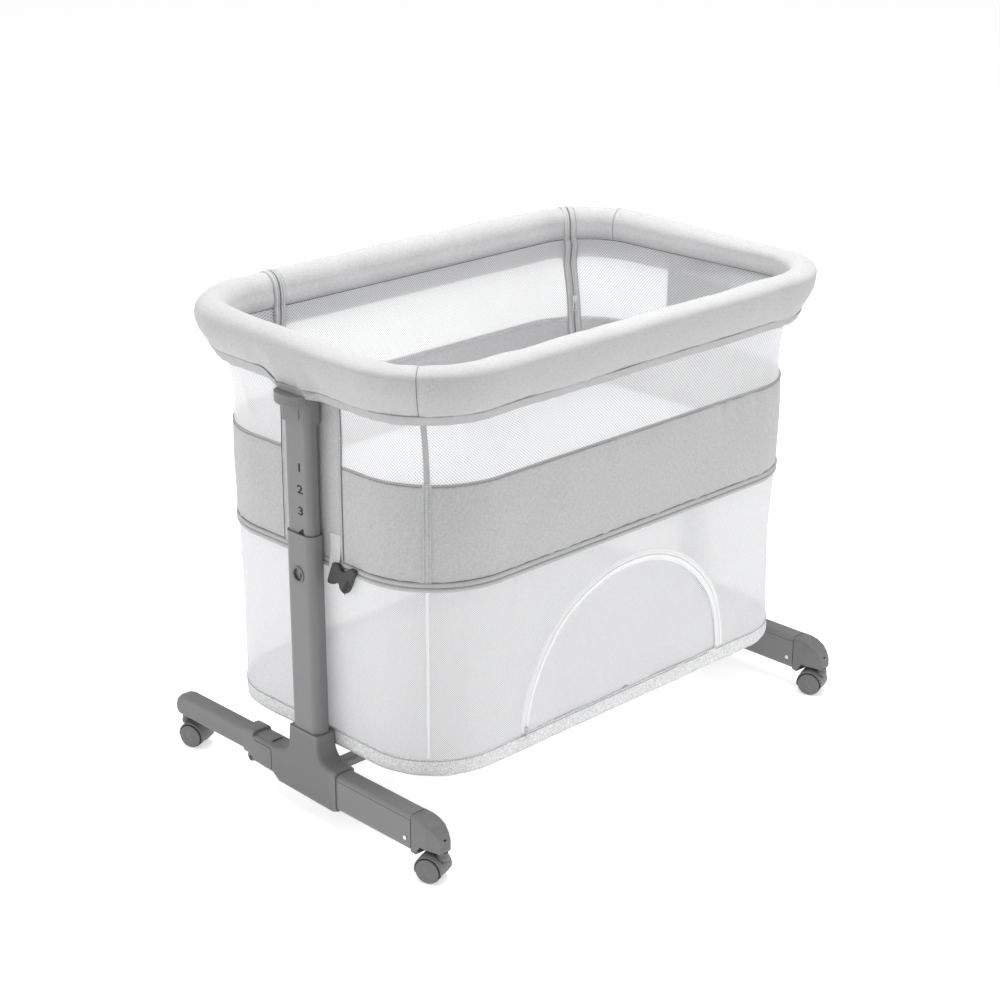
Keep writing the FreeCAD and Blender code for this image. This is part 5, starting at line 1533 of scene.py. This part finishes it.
# =====================================================================
# posts and base: finish, digits, seams
# =====================================================================
by_slot = {"frame_coated": COATED, "tube_steel": TUBE_ST, "grey_moulding": MOULD, "caster_moulding": CASTER,
           "bright_steel": STEEL, "dark_screw": SCREW, "bush_moulding": BUSH, "rail_cloth": RAIL, "band_cloth": BAND,
           "wall_mesh": NET_UP, "storage_net": NET_LO, "melange_cloth": HEMC, "floor_cloth": WHITE,
           "mattress_cloth": MATT, "board": BOARD, "buckle_moulding": BUCKLE, "webbing": WEB, "zip_metal": ZIPM}
slot_of = {p["node"]: p["material_slot"] for p in frame["record"]["subparts"]}
for name, o in CAD.items():
    mat = by_slot[slot_of[name]]
    if len(o.material_slots) == 0:
        o.data.materials.append(mat)
    for sl in o.material_slots:
        sl.link = "OBJECT"
        sl.material = mat

for tag, sx in (("left", -1), ("right", 1)):
    for d_, z in (("1", 563.5), ("2", 530.0), ("3", 496.5), ("4", 463.0), ("5", 429.5), ("6", 396.0)):
        cu = bpy.data.curves.new("digit", "FONT")
        cu.body = d_
        cu.size = 17.6 * MM
        cu.align_x = "CENTER"
        cu.align_y = "CENTER"
        cu.extrude = 0.05 * MM
        cu.offset = 0.45 * MM
        tmp = bpy.data.objects.new("digit_tmp", cu)
        bpy.context.scene.collection.objects.link(tmp)
        bpy.context.view_layer.update()
        me = bpy.data.meshes.new_from_object(tmp)
        bpy.data.objects.remove(tmp)
        co = np.array([v.co for v in me.vertices], float).reshape(-1, 3)
        mid = (co.min(0) + co.max(0)) / 2
        co = co - mid
        wide = 1.55 if d_ != "1" else 1.6
        w = np.stack([sx * (453.06 * MM) + sx * co[:, 2], sx * co[:, 0] * wide - 17 * MM, co[:, 1] + z * MM], 1)
        me.vertices.foreach_set("co", w.astype(np.float32).ravel())
        me.materials.clear()
        me.materials.append(INK)
        me.update()
        o = bpy.data.objects.new("level_digit_%s_%s" % (d_, tag), me)
        bpy.context.scene.collection.objects.link(o)
        place(o, "basket")
    # curved dark line on the post head: painted shadow along one edge of a round dimple
    L = np.array([(sx * 456.62, -22 - 3.6 * math.cos(a), 645 + 6.0 * math.sin(a))
                  for a in np.linspace(-1.25, 1.25, 16)])
    place(tube("post_head_shadow_arc_" + tag, L, 0.42, GROOVE, (sx, 0, 0), k=6), "basket")

# joint lines of the foot: dark gap between tube and end cap, panel line on the joint's rear half
for tag, sx in (("left", -1), ("right", 1)):
    def loop(hw, z0, z1, r, y, k=8):
        pts = []
        for cx, cz, a0 in ((hw - r, z1 - r, 0), (-(hw - r), z1 - r, 90), (-(hw - r), z0 + r, 180), (hw - r, z0 + r, 270)):
            for i in range(k + 1):
                a = math.radians(a0 + 90 * i / k)
                pts.append((sx * 441 + cx + r * math.cos(a), y, cz + r * math.sin(a)))
        return np.array(pts)

    place(tube("end_cap_joint_" + tag, loop(17.0, 33.0, 93.0, 8.0, -250.05), 0.5, GROOVE, (0, 1, 0), closed=True, k=6),
          "base")
    L = resample([(sx * 460.0, 110.0, 82.0), (sx * 460.0, 70.0, 82.0), (sx * 460.0, 68.5, 80.0), (sx * 460.0, 68.5, 47.0)], 3.0)
    place(tube("joint_panel_line_" + tag, L, 0.45, GROOVE, (sx, 0, 0), k=6), "base")
    # parting line along the foot tube, where its top rounds over
    for side in (-1, 1):
        L = resample([(sx * 441 + side * 17.0, -86.0, 84.5), (sx * 441 + side * 17.0, -249.0, 84.5)], 6.0)
        place(tube("foot_tube_line_%s_%s" % (tag, "a" if side < 0 else "b"), L, 0.28, GROOVE, (side, 0, 0), k=6), "base")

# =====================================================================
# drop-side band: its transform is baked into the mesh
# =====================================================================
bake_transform(band_gate)


# =====================================================================
# floor, light, camera
# =====================================================================
def mat_floor():
    k = Nodes("floor_paper")
    co = k.n("ShaderNodeTexCoord").outputs["Object"]
    b = k.n("ShaderNodeBsdfPrincipled")
    k.link(k.mixc(k.noise(co, 260.0, 2.0), grey(0.89), grey(0.91)), b.inputs["Base Color"])
    b.inputs["Roughness"].default_value = 0.9
    b.inputs["Specular IOR Level"].default_value = 0.1
    b.inputs["Emission Color"].default_value = (1, 1, 1, 1)
    b.inputs["Emission Strength"].default_value = 0.53
    k.link(b.outputs[0], k.out.inputs[0])
    return k.m


fl = grid("studio_floor", np.array([[(-30000, -30000, 0), (30000, -30000, 0)], [(-30000, 30000, 0), (30000, 30000, 0)]], float),
          mat_floor(), smooth=False)

world = bpy.data.worlds.new("studio")
world.use_nodes = True
wt_ = world.node_tree
wt_.nodes.clear()
wo = wt_.nodes.new("ShaderNodeOutputWorld")
bg_l = wt_.nodes.new("ShaderNodeBackground")
bg_l.inputs[0].default_value = (1, 1, 1, 1)
bg_l.inputs[1].default_value = 0.49
bg_c = wt_.nodes.new("ShaderNodeBackground")
bg_c.inputs[0].default_value = (1, 1, 1, 1)
bg_c.inputs[1].default_value = 1.0
lp = wt_.nodes.new("ShaderNodeLightPath")
ms = wt_.nodes.new("ShaderNodeMixShader")
wt_.links.new(lp.outputs["Is Camera Ray"], ms.inputs[0])
wt_.links.new(bg_l.outputs[0], ms.inputs[1])
wt_.links.new(bg_c.outputs[0], ms.inputs[2])
wt_.links.new(ms.outputs[0], wo.inputs[0])
bpy.context.scene.world = world


def soft(name, loc, aim, size, power):
    li = bpy.data.lights.new(name, "AREA")
    li.shape = "RECTANGLE"
    li.size, li.size_y = size
    li.energy = power
    o = bpy.data.objects.new(name, li)
    bpy.context.scene.collection.objects.link(o)
    o.location = loc
    o.rotation_mode = "QUATERNION"
    o.rotation_quaternion = (Vector(aim) - Vector(loc)).to_track_quat("-Z", "Y")
    return o


soft("key_left", (-3.2, 1.9, 1.9), (0, 0, 0.45), (2.2, 1.8), 36)
soft("fill_right", (2.3, -3.0, 1.5), (0, 0, 0.45), (2.0, 1.6), 21)
soft("top", (0.3, 0.3, 3.4), (0, 0, 0.4), (3.0, 3.0), 88)
soft("over_basket", (0.05, -0.32, 1.9), (0.0, 0.16, 0.62), (1.1, 0.5), 12)

cam = bpy.data.cameras.new("photo_camera")
cam.sensor_width = 36.0
cam.lens = 76.44
co_ = bpy.data.objects.new("photo_camera", cam)
bpy.context.scene.collection.objects.link(co_)
co_.location = (-2.24724, -2.26970, 1.60412)
co_.rotation_mode = "QUATERNION"
co_.rotation_quaternion = Vector((0.65257, 0.66909, -0.35564)).to_track_quat("-Z", "Y")
cam.clip_start, cam.clip_end = 0.05, 60
bpy.context.scene.camera = co_
vs = bpy.context.scene.view_settings
vs.view_transform = "Standard"
vs.look = "None"
vs.exposure = 0.0
vs.gamma = 1.0
